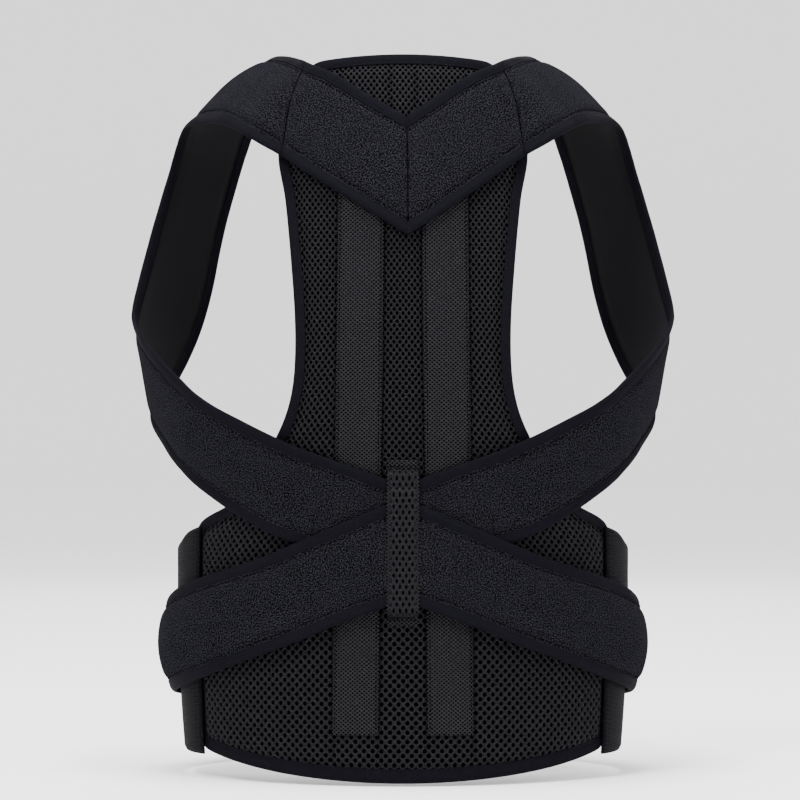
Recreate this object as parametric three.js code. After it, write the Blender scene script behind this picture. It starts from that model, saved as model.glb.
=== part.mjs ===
// A posture corrector in its worn form: a padded mesh back panel with two stay pockets, a V yoke,
// shoulder straps that loop round the arms to the spine, waist straps that go on to the front,
// a keeper loop over the crossing, and an elastic belt that closes at the front.
// Millimetres. +X is the wearer's right, +Y the front, +Z up. The origin is midway between the
// shoulders, at the height where the straps lie on them.
import * as THREE from "three";

// Driving sizes of the wearer's body, which everything wraps round.
const backLength = 481; // from the shoulders down to the panel's lower edge at the spine
const chestHalfWidth = 181;
const chestHalfDepth = 108;

// Driving sizes of the cloth pieces.
const clothEdge = 1.6; // padded cloth, pressed flat inside an edge tape
const panelThickness = 5;
const panelBladeHalfWidth = 78.5; // along the cloth, from the spine, between the shoulder blades
const panelWaistHalfWidth = 156;
const pocketWidth = 30;
const pocketThickness = 1.5;
const pocketTopSpacing = 54; // between the middle lines of the two stay pockets
const pocketFootSpacing = 62;
const pocketTop = 0.166; // shares of backLength, as are the two below
const pocketFootLevel = 0.927;
const beltHeight = 0.82;
const pocketLip = 2; // the width over which a pocket's edges slope
const strapWidth = 64;
const strapThickness = 3.4;
const tapeWidth = 6; // how far an edge tape reaches in over the cloth
const tapeWall = 0.7;
const easing = 6; // the width over which cloth swells to its full thickness
const yokeSeamShift = 3; // how far the yoke's middle seam is off the spine
const beltSeamInset = 8; // how far the belt laps over the panel's side edge
const beltThickness = 2.2;
const beltOverlap = 60; // how far the belt's two ends lie over each other at the front
const hookThickness = 1.1;
const beltHookWidth = 46;
const beltHookHeight = 64;
const strapHookLength = 46;
const strapHookWidth = 44;
const strapHookBeyond = 12; // how far the hook tab goes on past the strap's end
const keeperWidth = 20;
const keeperThickness = 1.8;
const layerGap = 0.6; // between two layers of cloth
const touchGap = 0.4; // between two pieces sewn to each other
const seamGap = 0.8; // between two pieces sewn edge to edge

// Heights over the body. A bound edge lies in the middle of its tape, which starts at height 0.
const edgeFoot = tapeWall + touchGap;
const tapeTop = clothEdge + 2 * edgeFoot;
const pocketFoot = panelThickness + touchGap;
const yokeLayer = pocketFoot + pocketThickness + layerGap;
const waistLayer = yokeLayer + Math.max(tapeTop, strapThickness) + layerGap;
const keeperLayer = waistLayer + Math.max(tapeTop, strapThickness) + layerGap;
const beltLayer = tapeTop + 1.5 * layerGap;
const hookLayer = beltLayer + beltThickness + layerGap;
const overBelt = hookLayer + hookThickness + layerGap;

// The wearer's body, section by section. Shares: down of backLength, width of chestHalfWidth,
// back and front of chestHalfDepth.
const bodySections = [
  { down: -0.03, width: 0.82, back: 0.54, front: 0.52 },
  { down: 0.06, width: 0.91, back: 0.74, front: 0.74 },
  { down: 0.125, width: 0.955, back: 0.845, front: 0.85 },
  { down: 0.21, width: 0.99, back: 0.935, front: 0.935 },
  { down: 0.31, width: 1.005, back: 0.99, front: 0.97 },
  { down: 0.405, width: 1.0, back: 1.0, front: 0.98 },
  { down: 0.49, width: 0.945, back: 0.98, front: 0.97 },
  { down: 0.56, width: 0.86, back: 0.945, front: 0.96 },
  { down: 0.625, width: 0.82, back: 0.915, front: 0.96 },
  { down: 0.7, width: 0.815, back: 0.895, front: 0.97 },
  { down: 0.79, width: 0.815, back: 0.9, front: 0.99 },
  { down: 0.9, width: 0.8, back: 0.925, front: 1.0 },
  { down: 1.02, width: 0.775, back: 0.965, front: 0.99 },
];

// The panel's outline, row by row. Shares: spine and edge are heights down backLength, at the
// spine and at the side, blade is of panelBladeHalfWidth, and flare is how far the side has gone
// on to panelWaistHalfWidth.
const panelRows = [
  { spine: -0.01, edge: 0.0, blade: 0.74, flare: 0 },
  { spine: 0.02, edge: 0.022, blade: 0.86, flare: 0 },
  { spine: 0.06, edge: 0.06, blade: 0.95, flare: 0 },
  { spine: 0.125, edge: 0.125, blade: 1.05, flare: 0 },
  { spine: 0.19, edge: 0.19, blade: 0.985, flare: 0 },
  { spine: 0.3, edge: 0.3, blade: 0.92, flare: 0 },
  { spine: 0.37, edge: 0.37, blade: 0.895, flare: 0 },
  { spine: 0.43, edge: 0.43, blade: 0.905, flare: 0 },
  { spine: 0.48, edge: 0.475, blade: 0.955, flare: 0 },
  { spine: 0.525, edge: 0.515, blade: 1.0, flare: 0.06 },
  { spine: 0.57, edge: 0.57, blade: 1.0, flare: 0.28 },
  { spine: 0.62, edge: 0.61, blade: 1.0, flare: 0.52 },
  { spine: 0.67, edge: 0.638, blade: 1.0, flare: 0.92 },
  { spine: 0.72, edge: 0.665, blade: 1.0, flare: 1 },
  { spine: 0.79, edge: 0.75, blade: 1.0, flare: 1 },
  { spine: 0.88, edge: 0.85, blade: 1.0, flare: 1 },
  { spine: 0.95, edge: 0.925, blade: 1.0, flare: 0.99 },
  { spine: 0.99, edge: 0.952, blade: 1.0, flare: 0.95 },
];

// The shoulder strap's middle line, from the spine up over the shoulder, down the chest, under the
// arm and back to the spine. Turn is in degrees round the body from the spine, down a share of
// backLength, reach the share of the way out to the body's skin, lean in degrees towards the arm's
// edge, wrap how closely the strap's width follows the skin, layer the height from flush with the
// skin (0) to over the stay pockets (1), and bow how far the middle of the strap's width stands
// out and width its breadth, both as shares of strapWidth.
const shoulderCourse = [
  { turn: 0, down: 0.164, reach: 1, lean: 0, wrap: 1, layer: 1, bow: 0, width: 1.02 },
  { turn: 12, down: 0.117, reach: 1, lean: 0, wrap: 1, layer: 1, bow: 0, width: 1 },
  { turn: 25, down: 0.071, reach: 1, lean: 0, wrap: 0.9, layer: 1, bow: 0, width: 0.98 },
  { turn: 40, down: 0.042, reach: 0.89, lean: -6, wrap: 0, layer: 0.7, bow: 0.04, width: 1 },
  { turn: 67, down: 0.027, reach: 0.73, lean: -24, wrap: 0, layer: 0.2, bow: 0.13, width: 1.03 },
  { turn: 109, down: 0.034, reach: 0.79, lean: -16, wrap: 0, layer: 0, bow: 0.13, width: 1.0 },
  { turn: 127.8, down: 0.088, reach: 1.0, lean: 5, wrap: 0, layer: 0, bow: 0.05, width: 0.93 },
  { turn: 127, down: 0.176, reach: 1.03, lean: 5, wrap: 0, layer: 0, bow: 0, width: 0.92 },
  { turn: 123, down: 0.243, reach: 1.02, lean: 0, wrap: 0, layer: 0, bow: 0, width: 0.94 },
  { turn: 119.5, down: 0.308, reach: 1.01, lean: -6, wrap: 0, layer: 0, bow: 0, width: 0.97 },
  { turn: 106.8, down: 0.395, reach: 0.998, lean: -6, wrap: 0, layer: 0, bow: 0.02, width: 1.0 },
  { turn: 83.3, down: 0.433, reach: 1.0, lean: 0, wrap: 0, layer: 0, bow: 0.03, width: 0.95 },
  { turn: 67.8, down: 0.475, reach: 0.985, lean: 0, wrap: 0.4, layer: 0.35, bow: 0.01, width: 0.9 },
  { turn: 57.2, down: 0.508, reach: 0.99, lean: 2, wrap: 0.8, layer: 0.85, bow: 0, width: 0.88 },
  { turn: 48.8, down: 0.535, reach: 1, lean: 0, wrap: 1, layer: 1, bow: 0, width: 0.9 },
  { turn: 31.8, down: 0.584, reach: 1, lean: 0, wrap: 1, layer: 1, bow: 0, width: 0.94 },
  { turn: 17.2, down: 0.613, reach: 1, lean: 0, wrap: 1, layer: 1, bow: 0, width: 0.93 },
  { turn: 0, down: 0.649, reach: 1, lean: 0, wrap: 1, layer: 1, bow: 0, width: 0.92 },
];
const yokeEnd = 0.131; // the shoulder seam's place, as a share of the course
const yokeSeamSlant = -0.47; // millimetres of seam slant for each millimetre across

// The waist strap's middle line, from the spine round the side to the front, with the same
// columns. Layer goes from over the belt (0) to over the shoulder straps (1).
const waistCourse = [
  { turn: 0, down: 0.669, reach: 1, lean: 0, wrap: 1, layer: 1, bow: 0, width: 0.97 },
  { turn: 17, down: 0.708, reach: 1, lean: 0, wrap: 1, layer: 1, bow: 0, width: 0.92 },
  { turn: 32, down: 0.742, reach: 1, lean: 0, wrap: 1, layer: 0.8, bow: 0, width: 0.92 },
  { turn: 47, down: 0.766, reach: 1, lean: 0, wrap: 1, layer: 0.25, bow: 0.01, width: 0.95 },
  { turn: 63, down: 0.788, reach: 1, lean: 0, wrap: 1, layer: 0, bow: 0.05, width: 0.98 },
  { turn: 78, down: 0.805, reach: 1, lean: 0, wrap: 1, layer: 0, bow: 0.11, width: 0.97 },
  { turn: 93, down: 0.817, reach: 1, lean: 0, wrap: 1, layer: 0, bow: 0.12, width: 0.95 },
  { turn: 109, down: 0.824, reach: 1, lean: 0, wrap: 1, layer: 0, bow: 0.07, width: 0.97 },
  { turn: 124, down: 0.826, reach: 1, lean: 0, wrap: 1, layer: 0, bow: 0.02, width: 1 },
  { turn: 138, down: 0.826, reach: 1, lean: 0, wrap: 1, layer: 0, bow: 0, width: 1 },
  { turn: 152, down: 0.826, reach: 1, lean: 0, wrap: 1, layer: 0, bow: 0, width: 0.96 },
];

// The belt's upper and lower edges, as shares down backLength, at shares of the way from the
// panel's side seam to the middle of the front.
const beltRows = [
  { round: 0, top: 0.643, foot: 0.962 },
  { round: 0.06, top: 0.652, foot: 0.962 },
  { round: 0.14, top: 0.67, foot: 0.961 },
  { round: 0.4, top: 0.682, foot: 0.955 },
  { round: 0.7, top: 0.705, foot: 0.935 },
  { round: 1, top: 0.715, foot: 0.925 },
  { round: 1.4, top: 0.715, foot: 0.925 },
];

// The keeper loop from its upper sewn end to its lower one: down is a share of backLength, and
// rise goes from the panel (0) to over the waist straps (1).
const keeperRows = [
  { down: 0.547, rise: 0 },
  { down: 0.562, rise: 0 },
  { down: 0.5645, rise: 0.35 },
  { down: 0.567, rise: 0.62 },
  { down: 0.585, rise: 0.66 },
  { down: 0.5895, rise: 0.96 },
  { down: 0.61, rise: 1 },
  { down: 0.65, rise: 1 },
  { down: 0.69, rise: 1 },
  { down: 0.73, rise: 1 },
  { down: 0.7555, rise: 1 },
  { down: 0.7595, rise: 0.5 },
  { down: 0.762, rise: 0 },
  { down: 0.777, rise: 0 },
];

// Colours and finishes.
const brushed = { color: 0x17171b, roughness: 0.95 };
const mesh = { color: 0x232325, roughness: 0.9 };
const pocketMesh = { color: 0x2a2a2c, roughness: 0.9 };
const tape = { color: 0x1d1d21, roughness: 0.75 };
const elastic = { color: 0x19191c, roughness: 0.8 };
const hook = { color: 0x121214, roughness: 0.7 };

const { degToRad, lerp, smoothstep } = THREE.MathUtils;
const group = new THREE.Group();

// A smooth curve through one column of a table, read at a value of its first column.
function column(rows, key, at, name) {
  const last = rows.length - 1;
  const x = THREE.MathUtils.clamp(at, rows[0][key], rows[last][key]);
  let i = 0;
  while (i < last - 1 && x > rows[i + 1][key]) i++;
  const slope = (k) => {
    const [p, q] = [Math.max(k - 1, 0), Math.min(k + 1, last)];
    return (rows[q][name] - rows[p][name]) / (rows[q][key] - rows[p][key]);
  };
  const span = rows[i + 1][key] - rows[i][key];
  const t = (x - rows[i][key]) / span;
  const [a, b] = [rows[i][name], rows[i + 1][name]];
  const [da, db] = [slope(i) * span, slope(i + 1) * span];
  return a + t * (da + t * (3 * (b - a) - 2 * da - db + t * (2 * (a - b) + da + db)));
}

// Half width and half depth of the body at a height, on the side that a turn faces.
function halves(z, turn) {
  const down = -z / backLength;
  const side = Math.cos(turn) > 0 ? "back" : "front";
  return [
    chestHalfWidth * column(bodySections, "down", down, "width"),
    chestHalfDepth * column(bodySections, "down", down, side),
  ];
}

// A point of the body: turn is the angle round it from the spine, positive to +X, and reach the
// share of the way out from its middle line.
function bodySkin(turn, z, reach = 1) {
  const [a, b] = halves(z, turn);
  return new THREE.Vector3(reach * a * Math.sin(turn), -reach * b * Math.cos(turn), z);
}

function bodyNormal(turn, z) {
  const step = 0.01;
  const round = bodySkin(turn + step, z).sub(bodySkin(turn - step, z));
  const rise = bodySkin(turn, z + 1).sub(bodySkin(turn, z - 1));
  return round.cross(rise).normalize();
}

function bodyPoint(turn, z, height) {
  return bodySkin(turn, z).addScaledVector(bodyNormal(turn, z), height);
}

// The turn at which a cloth that runs level round the body is s millimetres from the spine.
const turnStep = Math.PI / 90;
function turnAt(s, z) {
  let left = Math.abs(s);
  let before = bodySkin(0, z);
  let turn = 0;
  let step = 0;
  while (turn < 2 * Math.PI) {
    const next = bodySkin(turn + turnStep, z);
    step = next.distanceTo(before);
    if (step >= left) break;
    left -= step;
    turn += turnStep;
    before = next;
  }
  return Math.sign(s) * (turn + (turnStep * left) / step);
}

function clothPoint(s, z, height) {
  return bodyPoint(turnAt(s, z), z, height);
}

// How far it is along the cloth from the spine to the middle of the front.
function halfGirth(z) {
  let length = 0;
  for (let turn = turnStep; turn < Math.PI + turnStep / 2; turn += turnStep)
    length += bodySkin(turn, z).distanceTo(bodySkin(turn - turnStep, z));
  return length;
}

// One ring of a solid: its outer points one way, then as many inner points back.
function ring(place, outer, inner) {
  return [...outer, ...[...inner].reverse()].map(([v, h]) => place(v, h));
}

// A closed solid through rings of points, and its mesh. An open run of rings gets two ends. Each
// face between two rings is split along one diagonal, or along the other where crossed says so.
function loft(name, rings, look, { closed = false, crossed = () => false } = {}) {
  const size = rings[0].length;
  const far = (rings.length - 1) * size;
  const positions = rings.flat().flatMap((p) => [p.x, p.y, p.z]);
  const index = [];
  for (let i = 0; i < rings.length - (closed ? 0 : 1); i++)
    for (let j = 0; j < size; j++) {
      const next = ((i + 1) % rings.length) * size;
      const [a, b] = [i * size + j, i * size + ((j + 1) % size)];
      const [c, d] = [next + j, next + ((j + 1) % size)];
      index.push(...(crossed(i, j) ? [a, b, c, b, d, c] : [a, b, d, a, d, c]));
    }
  for (let i = 0; !closed && i < size / 2 - 1; i++) {
    const [a, b, c, d] = [i, i + 1, size - 2 - i, size - 1 - i];
    index.push(a, c, b, a, d, c);
    index.push(far + a, far + b, far + c, far + a, far + c, far + d);
  }
  const geometry = new THREE.BufferGeometry();
  geometry.setAttribute("position", new THREE.Float32BufferAttribute(positions, 3));
  geometry.setIndex(outward(positions, index));
  geometry.computeVertexNormals();
  const solid = new THREE.Mesh(geometry, new THREE.MeshStandardMaterial(look));
  solid.name = name;
  group.add(solid);
}

// The same faces, turned round if they point in.
function outward(positions, index) {
  const at = (i) => new THREE.Vector3().fromArray(positions, 3 * i);
  let volume = 0;
  for (let i = 0; i < index.length; i += 3)
    volume += at(index[i]).dot(at(index[i + 1]).cross(at(index[i + 2])));
  return volume > 0 ? index : [...index].reverse();
}

// The section of padded cloth with two bound edges, from one edge to the other.
function clothSection(half, thickness, inset = [tapeWidth + 1, tapeWidth + 1 + easing]) {
  const [pressed, swollen] = inset;
  const across = [-half, pressed - half, swollen - half, 0, half - swollen, half - pressed, half];
  const bound = (v) => half - Math.abs(v) < swollen - 0.001;
  return {
    outer: across.map((v) => [v, bound(v) ? edgeFoot + clothEdge : thickness]),
    inner: across.map((v) => [v, bound(v) ? edgeFoot : 0]),
  };
}

// The U section of an edge tape. Inwards is counted from the edge of the cloth that it holds.
function tapeSection() {
  const [near, far, top] = [-touchGap, -touchGap - tapeWall, tapeTop];
  return {
    outer: [[tapeWidth, top], [far, top], [far, 0], [tapeWidth, 0]],
    inner: [
      [tapeWidth, top - tapeWall],
      [near, top - tapeWall],
      [near, tapeWall],
      [tapeWidth, tapeWall],
    ],
  };
}

// A strap's course over the body, worked out on the +X side and then put on the side asked for.
// It gives a place for each length along the strap, distance across it towards the arm, and
// height over its underside.
function course(rows, side, low, high, middleShift = 0) {
  const table = rows.map((row, i) => ({ at: i, ...row }));
  const fine = 10;
  const samples = [];
  const read = (at, name) => column(table, "at", at, name);
  const level = (at) => -backLength * read(at, "down");
  const middle = (at) => bodySkin(degToRad(read(at, "turn")), level(at), read(at, "reach"));
  for (let i = 0; i <= fine * (rows.length - 1); i++) {
    const at = i / fine;
    const centre = middle(at);
    const along = middle(at + 0.02).sub(middle(at - 0.02)).normalize();
    const skin = bodyNormal(degToRad(read(at, "turn")), centre.z);
    const facing = skin.addScaledVector(along, -skin.dot(along)).normalize();
    const across = along.clone().cross(facing);
    const lean = degToRad(read(at, "lean"));
    const before = samples.at(-1);
    samples.push({
      length: before ? before.length + centre.distanceTo(before.centre) : 0,
      centre,
      along,
      normal: facing.clone().multiplyScalar(Math.cos(lean)).addScaledVector(across, Math.sin(lean)),
      across: across.clone().multiplyScalar(Math.cos(lean)).addScaledVector(facing, -Math.sin(lean)),
      wrap: read(at, "wrap"),
      foot: lerp(low, high, read(at, "layer")),
      bow: strapWidth * read(at, "bow"),
      half: (strapWidth / 2) * read(at, "width"),
    });
  }
  const length = samples.at(-1).length;
  const number = (s, name) => column(samples, "length", s, name);
  const vector = (s, name) => {
    let i = 0;
    while (i < samples.length - 2 && s > samples[i + 1].length) i++;
    const [a, b] = [samples[i], samples[i + 1]];
    const t = (s - a.length) / (b.length - a.length);
    return a[name].clone().lerp(b[name], THREE.MathUtils.clamp(t, 0, 1));
  };
  const place = (s, v, h) => {
    const inside = THREE.MathUtils.clamp(s, 0, length);
    const [normal, across] = [vector(inside, "normal"), vector(inside, "across")];
    const half = number(inside, "half");
    const bow = number(inside, "bow") * (1 - (v / half) ** 2);
    const height = number(inside, "foot") + h + bow;
    const skin = vector(inside, "centre")
      .addScaledVector(vector(inside, "along"), s - inside)
      .addScaledVector(across, v);
    const [a, b] = halves(skin.z, skin.y < 0 ? 0 : Math.PI);
    const wrapped = bodyPoint(Math.atan2(skin.x / a, -skin.y / b), skin.z, height);
    const point = skin.addScaledVector(normal, height).lerp(wrapped, number(inside, "wrap"));
    const shift = middleShift * (1 - smoothstep(inside, 0, strapWidth));
    return new THREE.Vector3(side * point.x + shift, point.y, point.z);
  };
  const slant = (s) => -vector(s, "across").x / vector(s, "along").x;
  return { length, place, slant, half: (s) => number(THREE.MathUtils.clamp(s, 0, length), "half") };
}

// Stations along a course from one length to another, about one every step. Each end is cut at
// its own slant, which fades out over a strap's width.
function stations(from, to, step, fromSlant, toSlant) {
  const count = Math.round((to - from) / step);
  return Array.from({ length: count + 1 }, (_, i) => {
    const s = lerp(from, to, i / count);
    const near = 1 - smoothstep(s - from, 0, 1.5 * strapWidth);
    const away = 1 - smoothstep(to - s, 0, 1.5 * strapWidth);
    return { s, slant: near * fromSlant + away * toSlant };
  });
}

function strapRings(path, list) {
  return list.map(({ s, slant }) => {
    const { outer, inner } = clothSection(path.half(s), strapThickness);
    return ring((v, h) => path.place(s + slant * v, v, h), outer, inner);
  });
}

// Edge is 1 for the strap's edge on the arm's side and -1 for the other. The tape's faces are split
// the same way as the strap's, which is the crossed way on the arm's side.
const armSide = { crossed: () => true };
function tapeRings(path, list, edge) {
  const { outer, inner } = tapeSection();
  return list.map(({ s, slant }) => {
    const across = (inwards) => edge * (path.half(s) - inwards);
    return ring((u, h) => path.place(s + slant * across(u), across(u), h), outer, inner);
  });
}

// Sets one ring of a run flat against an upright plane, so that the two sides meet there.
function cutFlat(rings, at, x) {
  for (const point of rings.at(at)) point.x = x;
  return rings;
}

// The sewn V at the top of the back and the two shoulder straps.
const stationStep = 16.5; // the longest steps between the rings of a strap
const yokeStep = 12;
const sides = [["left", -1], ["right", 1]];
const shoulder = sides.map(([, side]) =>
  course(shoulderCourse, side, -strapThickness, yokeLayer, yokeSeamShift),
);

sides.forEach(([name, side], i) => {
  const path = shoulder[i];
  const seam = yokeEnd * path.length;
  const yoke = stations(seamGap / 2, seam, yokeStep, path.slant(0), yokeSeamSlant);
  const seamPlane = yokeSeamShift + (side * seamGap) / 2;
  loft(`yoke_${name}`, cutFlat(strapRings(path, yoke), 0, seamPlane), brushed);
  const [from, to] = [seam + seamGap, path.length - seamGap / 2];
  const list = stations(from, to, stationStep, yokeSeamSlant, path.slant(path.length));
  const spinePlane = (side * seamGap) / 2;
  loft(`shoulder_strap_${name}`, cutFlat(strapRings(path, list), -1, spinePlane), brushed);
  loft(`strap_arm_tape_${name}`, cutFlat(tapeRings(path, list, 1), -1, spinePlane), tape, armSide);
  loft(`strap_neck_tape_${name}`, cutFlat(tapeRings(path, list, -1), -1, spinePlane), tape);
});
for (const [name, edge] of [["yoke_bottom_tape", 1], ["yoke_top_tape", -1]]) {
  const [left, right] = shoulder.map((path) => {
    const list = stations(0, yokeEnd * path.length, yokeStep, path.slant(0), yokeSeamSlant);
    return cutFlat(tapeRings(path, list, edge), 0, yokeSeamShift);
  });
  const middle = left.length - 1;
  const crossed = (i) => i < middle === edge < 0;
  loft(name, [...left.slice(1).reverse(), ...right], tape, { crossed });
}

// The waist straps, with a hook tab under each front end.
sides.forEach(([name, side]) => {
  const path = course(waistCourse, side, overBelt, waistLayer);
  const spinePlane = (side * seamGap) / 2;
  const list = stations(seamGap / 2, path.length, stationStep, path.slant(0), 0);
  loft(`waist_strap_${name}`, cutFlat(strapRings(path, list), 0, spinePlane), brushed);
  loft(`waist_bottom_tape_${name}`, cutFlat(tapeRings(path, list, 1), 0, spinePlane), tape, armSide);
  loft(`waist_top_tape_${name}`, cutFlat(tapeRings(path, list, -1), 0, spinePlane), tape);
  const [from, to] = [path.length - strapHookLength, path.length + strapHookBeyond];
  const across = [-strapHookWidth / 2, 0, strapHookWidth / 2];
  const [top, foot] = [-layerGap / 2, -layerGap / 2 - hookThickness].map((h) =>
    across.map((v) => [v, h]),
  );
  const tab = stations(from, to, stationStep, 0, 0);
  const rings = tab.map(({ s }) => ring((v, h) => path.place(s, v, h), top, foot));
  loft(`strap_hook_${name}`, rings, hook);
});

// The back panel, row by row down the spine.
function panelHalf(spine) {
  const flared = panelWaistHalfWidth - panelBladeHalfWidth;
  const [blade, flare] = ["blade", "flare"].map((name) => column(panelRows, "spine", spine, name));
  return panelBladeHalfWidth * blade + flared * flare;
}

function panelLevel(spine, share) {
  return -backLength * lerp(spine, column(panelRows, "spine", spine, "edge"), share ** 2);
}

// How much longer a step in from the panel's edge is along a row than square to a slanting edge.
function panelSlant(spine) {
  const step = 0.005;
  const [allowance, most] = [1.1, 4];
  const at = THREE.MathUtils.clamp(spine, panelRows[0].spine + step, panelRows.at(-1).spine - step);
  const run = panelHalf(at + step) - panelHalf(at - step);
  const fall = panelLevel(at - step, 1) - panelLevel(at + step, 1);
  return Math.min(allowance * Math.hypot(1, run / fall), most);
}

// Places across a row of the panel: the pressed edges, then even steps between them. Where the
// outline runs slantwise the pressed edge takes more of the row.
const pressedEdge = tapeWidth + 1;
const endAllowance = 1.8; // how much deeper the pressed ends are than the pressed sides
const nearby = [-0.03, -0.015, 0, 0.015, 0.03];
function panelAcross(spine) {
  const half = panelHalf(spine);
  const steep = Math.max(...nearby.map((step) => panelSlant(spine + step)));
  const [pressed, swollen] = [pressedEdge, pressedEdge + easing].map((inset) => half - inset * steep);
  const steps = 9;
  const inside = Array.from({ length: steps + 1 }, (_, i) => lerp(-swollen, swollen, i / steps));
  return [-half, -pressed, ...inside, pressed, half];
}

// The rows' places down the spine: pressed ends, then even steps between them.
function panelSpine() {
  const [top, foot] = [panelRows[0].spine, panelRows.at(-1).spine];
  const ends = [0, pressedEdge, pressedEdge + easing].map((inset) => (endAllowance * inset) / backLength);
  const steps = 18;
  const between = Array.from({ length: steps - 1 }, (_, i) =>
    lerp(top + ends[2], foot - ends[2], (i + 1) / steps),
  );
  return [...ends.map((end) => top + end), ...between, ...ends.map((end) => foot - end).reverse()];
}

const panelDowns = panelSpine();
const panelRings = panelDowns.map((down, row) => {
  const across = panelAcross(down);
  const place = (i, h) => clothPoint(across[i], panelLevel(down, across[i] / panelHalf(down)), h);
  const fromEdge = (i, list) => Math.min(i, list.length - 1 - i);
  const bound = (i) => fromEdge(i, across) < 2 || fromEdge(row, panelDowns) < 2;
  const columns = across.map((_, i) => i);
  return ring(
    place,
    columns.map((i) => [i, bound(i) ? edgeFoot + clothEdge : panelThickness]),
    columns.map((i) => [i, bound(i) ? edgeFoot : 0]),
  );
});
const columnCount = panelAcross(panelDowns[0]).length;
const leftHalf = (_, j) => Math.min(j, 2 * columnCount - 2 - j) < (columnCount - 1) / 2;
loft("back_panel", panelRings, mesh, { crossed: leftHalf });

// The tape round the panel follows its outline, laid flat: along the top, down one side, along
// the foot and up the other side.
const panelEnd = (down, sign) =>
  panelAcross(down).map((s) => [sign * s, panelLevel(down, s / panelHalf(down))]);
const panelSide = (sign) =>
  panelDowns.slice(1, -1).map((down) => [sign * panelHalf(down), panelLevel(down, 1)]);
const outline = [
  ...panelEnd(panelDowns[0], 1),
  ...panelSide(1),
  ...panelEnd(panelDowns.at(-1), -1),
  ...panelSide(-1).reverse(),
].map(([s, z]) => new THREE.Vector2(s, z));

const sharpest = 0.6; // the least cosine of half a corner's turn that the tape follows in full
const panelTapeRings = outline.map((corner, i) => {
  const before = outline.at(i - 1);
  const after = outline[(i + 1) % outline.length];
  const inwards = (a, b) => new THREE.Vector2(b.y - a.y, a.x - b.x).normalize();
  const bisector = inwards(before, corner).add(inwards(corner, after)).normalize();
  const reach = 1 / Math.max(bisector.dot(inwards(corner, after)), sharpest);
  const { outer, inner } = tapeSection();
  const place = (u, h) => {
    const { x, y } = corner.clone().addScaledVector(bisector, u * reach);
    return clothPoint(x, y, h);
  };
  return ring(place, outer, inner);
});
const [topRun, sideRun] = [columnCount - 1, panelDowns.length - 1];
const split = (i) => {
  const onLeft = i >= 2 * topRun + sideRun;
  const onSide = onLeft || (i >= topRun && i < topRun + sideRun);
  const leftEnd = i < topRun / 2 || (i >= 1.5 * topRun + sideRun && !onLeft);
  return onSide ? !onLeft : leftEnd;
};
loft("panel_tape", panelTapeRings, tape, { closed: true, crossed: split });

// The two stay pockets, sewn flat on the panel from under the yoke to near its foot.
sides.forEach(([name, side]) => {
  const rows = 16;
  const rings = Array.from({ length: rows + 1 }, (_, i) => {
    const z = -backLength * lerp(pocketTop, pocketFootLevel, i / rows);
    const centre = (side * lerp(pocketTopSpacing, pocketFootSpacing, i / rows)) / 2;
    const half = pocketWidth / 2;
    const across = [-half, pocketLip - half, 0, half - pocketLip, half];
    const top = pocketFoot + pocketThickness;
    const lip = pocketFoot + pocketThickness / 2;
    return ring(
      (v, h) => clothPoint(centre + v, z, h),
      across.map((v) => [v, Math.abs(v) === half ? lip : top]),
      across.map((v) => [v, pocketFoot]),
    );
  });
  loft(`stay_pocket_${name}`, rings, pocketMesh);
});

// The keeper loop: sewn to the panel at both ends, and standing over the crossing between them.
const keeperPath = keeperRows.map(({ down, rise }) => {
  const height = lerp(panelThickness + touchGap, keeperLayer, rise);
  return new THREE.Vector2(-backLength * down, height);
});
const keeperRings = keeperPath.map((at, i) => {
  const before = keeperPath[Math.max(i - 1, 0)];
  const after = keeperPath[Math.min(i + 1, keeperPath.length - 1)];
  const [into, out] = [at.clone().sub(before).normalize(), after.clone().sub(at).normalize()];
  const along = into.add(out).normalize();
  const lift = new THREE.Vector2(along.y, -along.x).multiplyScalar(keeperThickness);
  const across = [-keeperWidth / 2, 0, keeperWidth / 2];
  const place = (v, k) => clothPoint(v, at.x + k * lift.x, at.y + k * lift.y);
  return ring(place, across.map((v) => [v, 1]), across.map((v) => [v, 0]));
});
loft("keeper_loop", keeperRings, pocketMesh);

// The elastic belt: two wings sewn over the panel's side edges, the left one lapped over the right
// one in the middle of the front, with the hook patch between them.
const beltLevel = -backLength * beltHeight;
const beltMiddle = halfGirth(beltLevel);
const beltSeam = panelWaistHalfWidth - beltSeamInset;
const beltStep = 16;
const [riseFrom, riseTo] = [21, 3]; // where the upper wing rises, before the lap

function beltRings(side, over) {
  const end = beltMiddle + beltOverlap / 2;
  const count = Math.round((end - beltSeam) / beltStep);
  return Array.from({ length: count + 1 }, (_, i) => {
    const s = lerp(beltSeam, end, i / count);
    const round = (s - beltSeam) / (beltMiddle - beltSeam);
    const [top, foot] = ["top", "foot"].map((edge) => -backLength * column(beltRows, "round", round, edge));
    const lapped = beltMiddle - beltOverlap / 2;
    const lift = over * smoothstep(s, lapped - riseFrom, lapped - riseTo);
    const height = beltLayer + lift * (beltThickness + hookThickness + 2 * layerGap);
    const levels = [0, 1 / 3, 2 / 3, 1].map((k) => lerp(top, foot, k));
    return ring(
      (z, h) => clothPoint(side * s, z, height + h),
      levels.map((z) => [z, beltThickness]),
      levels.map((z) => [z, 0]),
    );
  });
}
sides.forEach(([name, side]) => {
  const over = side < 0 ? 1 : 0;
  loft(`belt_wing_${name}`, beltRings(side, over), elastic);
});
const hookRings = [-0.5, -0.25, 0, 0.25, 0.5].map((k) => {
  const levels = [0.5, 0, -0.5].map((share) => beltLevel + share * beltHookHeight);
  return ring(
    (z, h) => clothPoint(beltMiddle + k * beltHookWidth, z, h),
    levels.map((z) => [z, hookLayer + hookThickness]),
    levels.map((z) => [z, hookLayer]),
  );
});
loft("belt_hook", hookRings, hook);

export default group;
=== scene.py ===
import math

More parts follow.
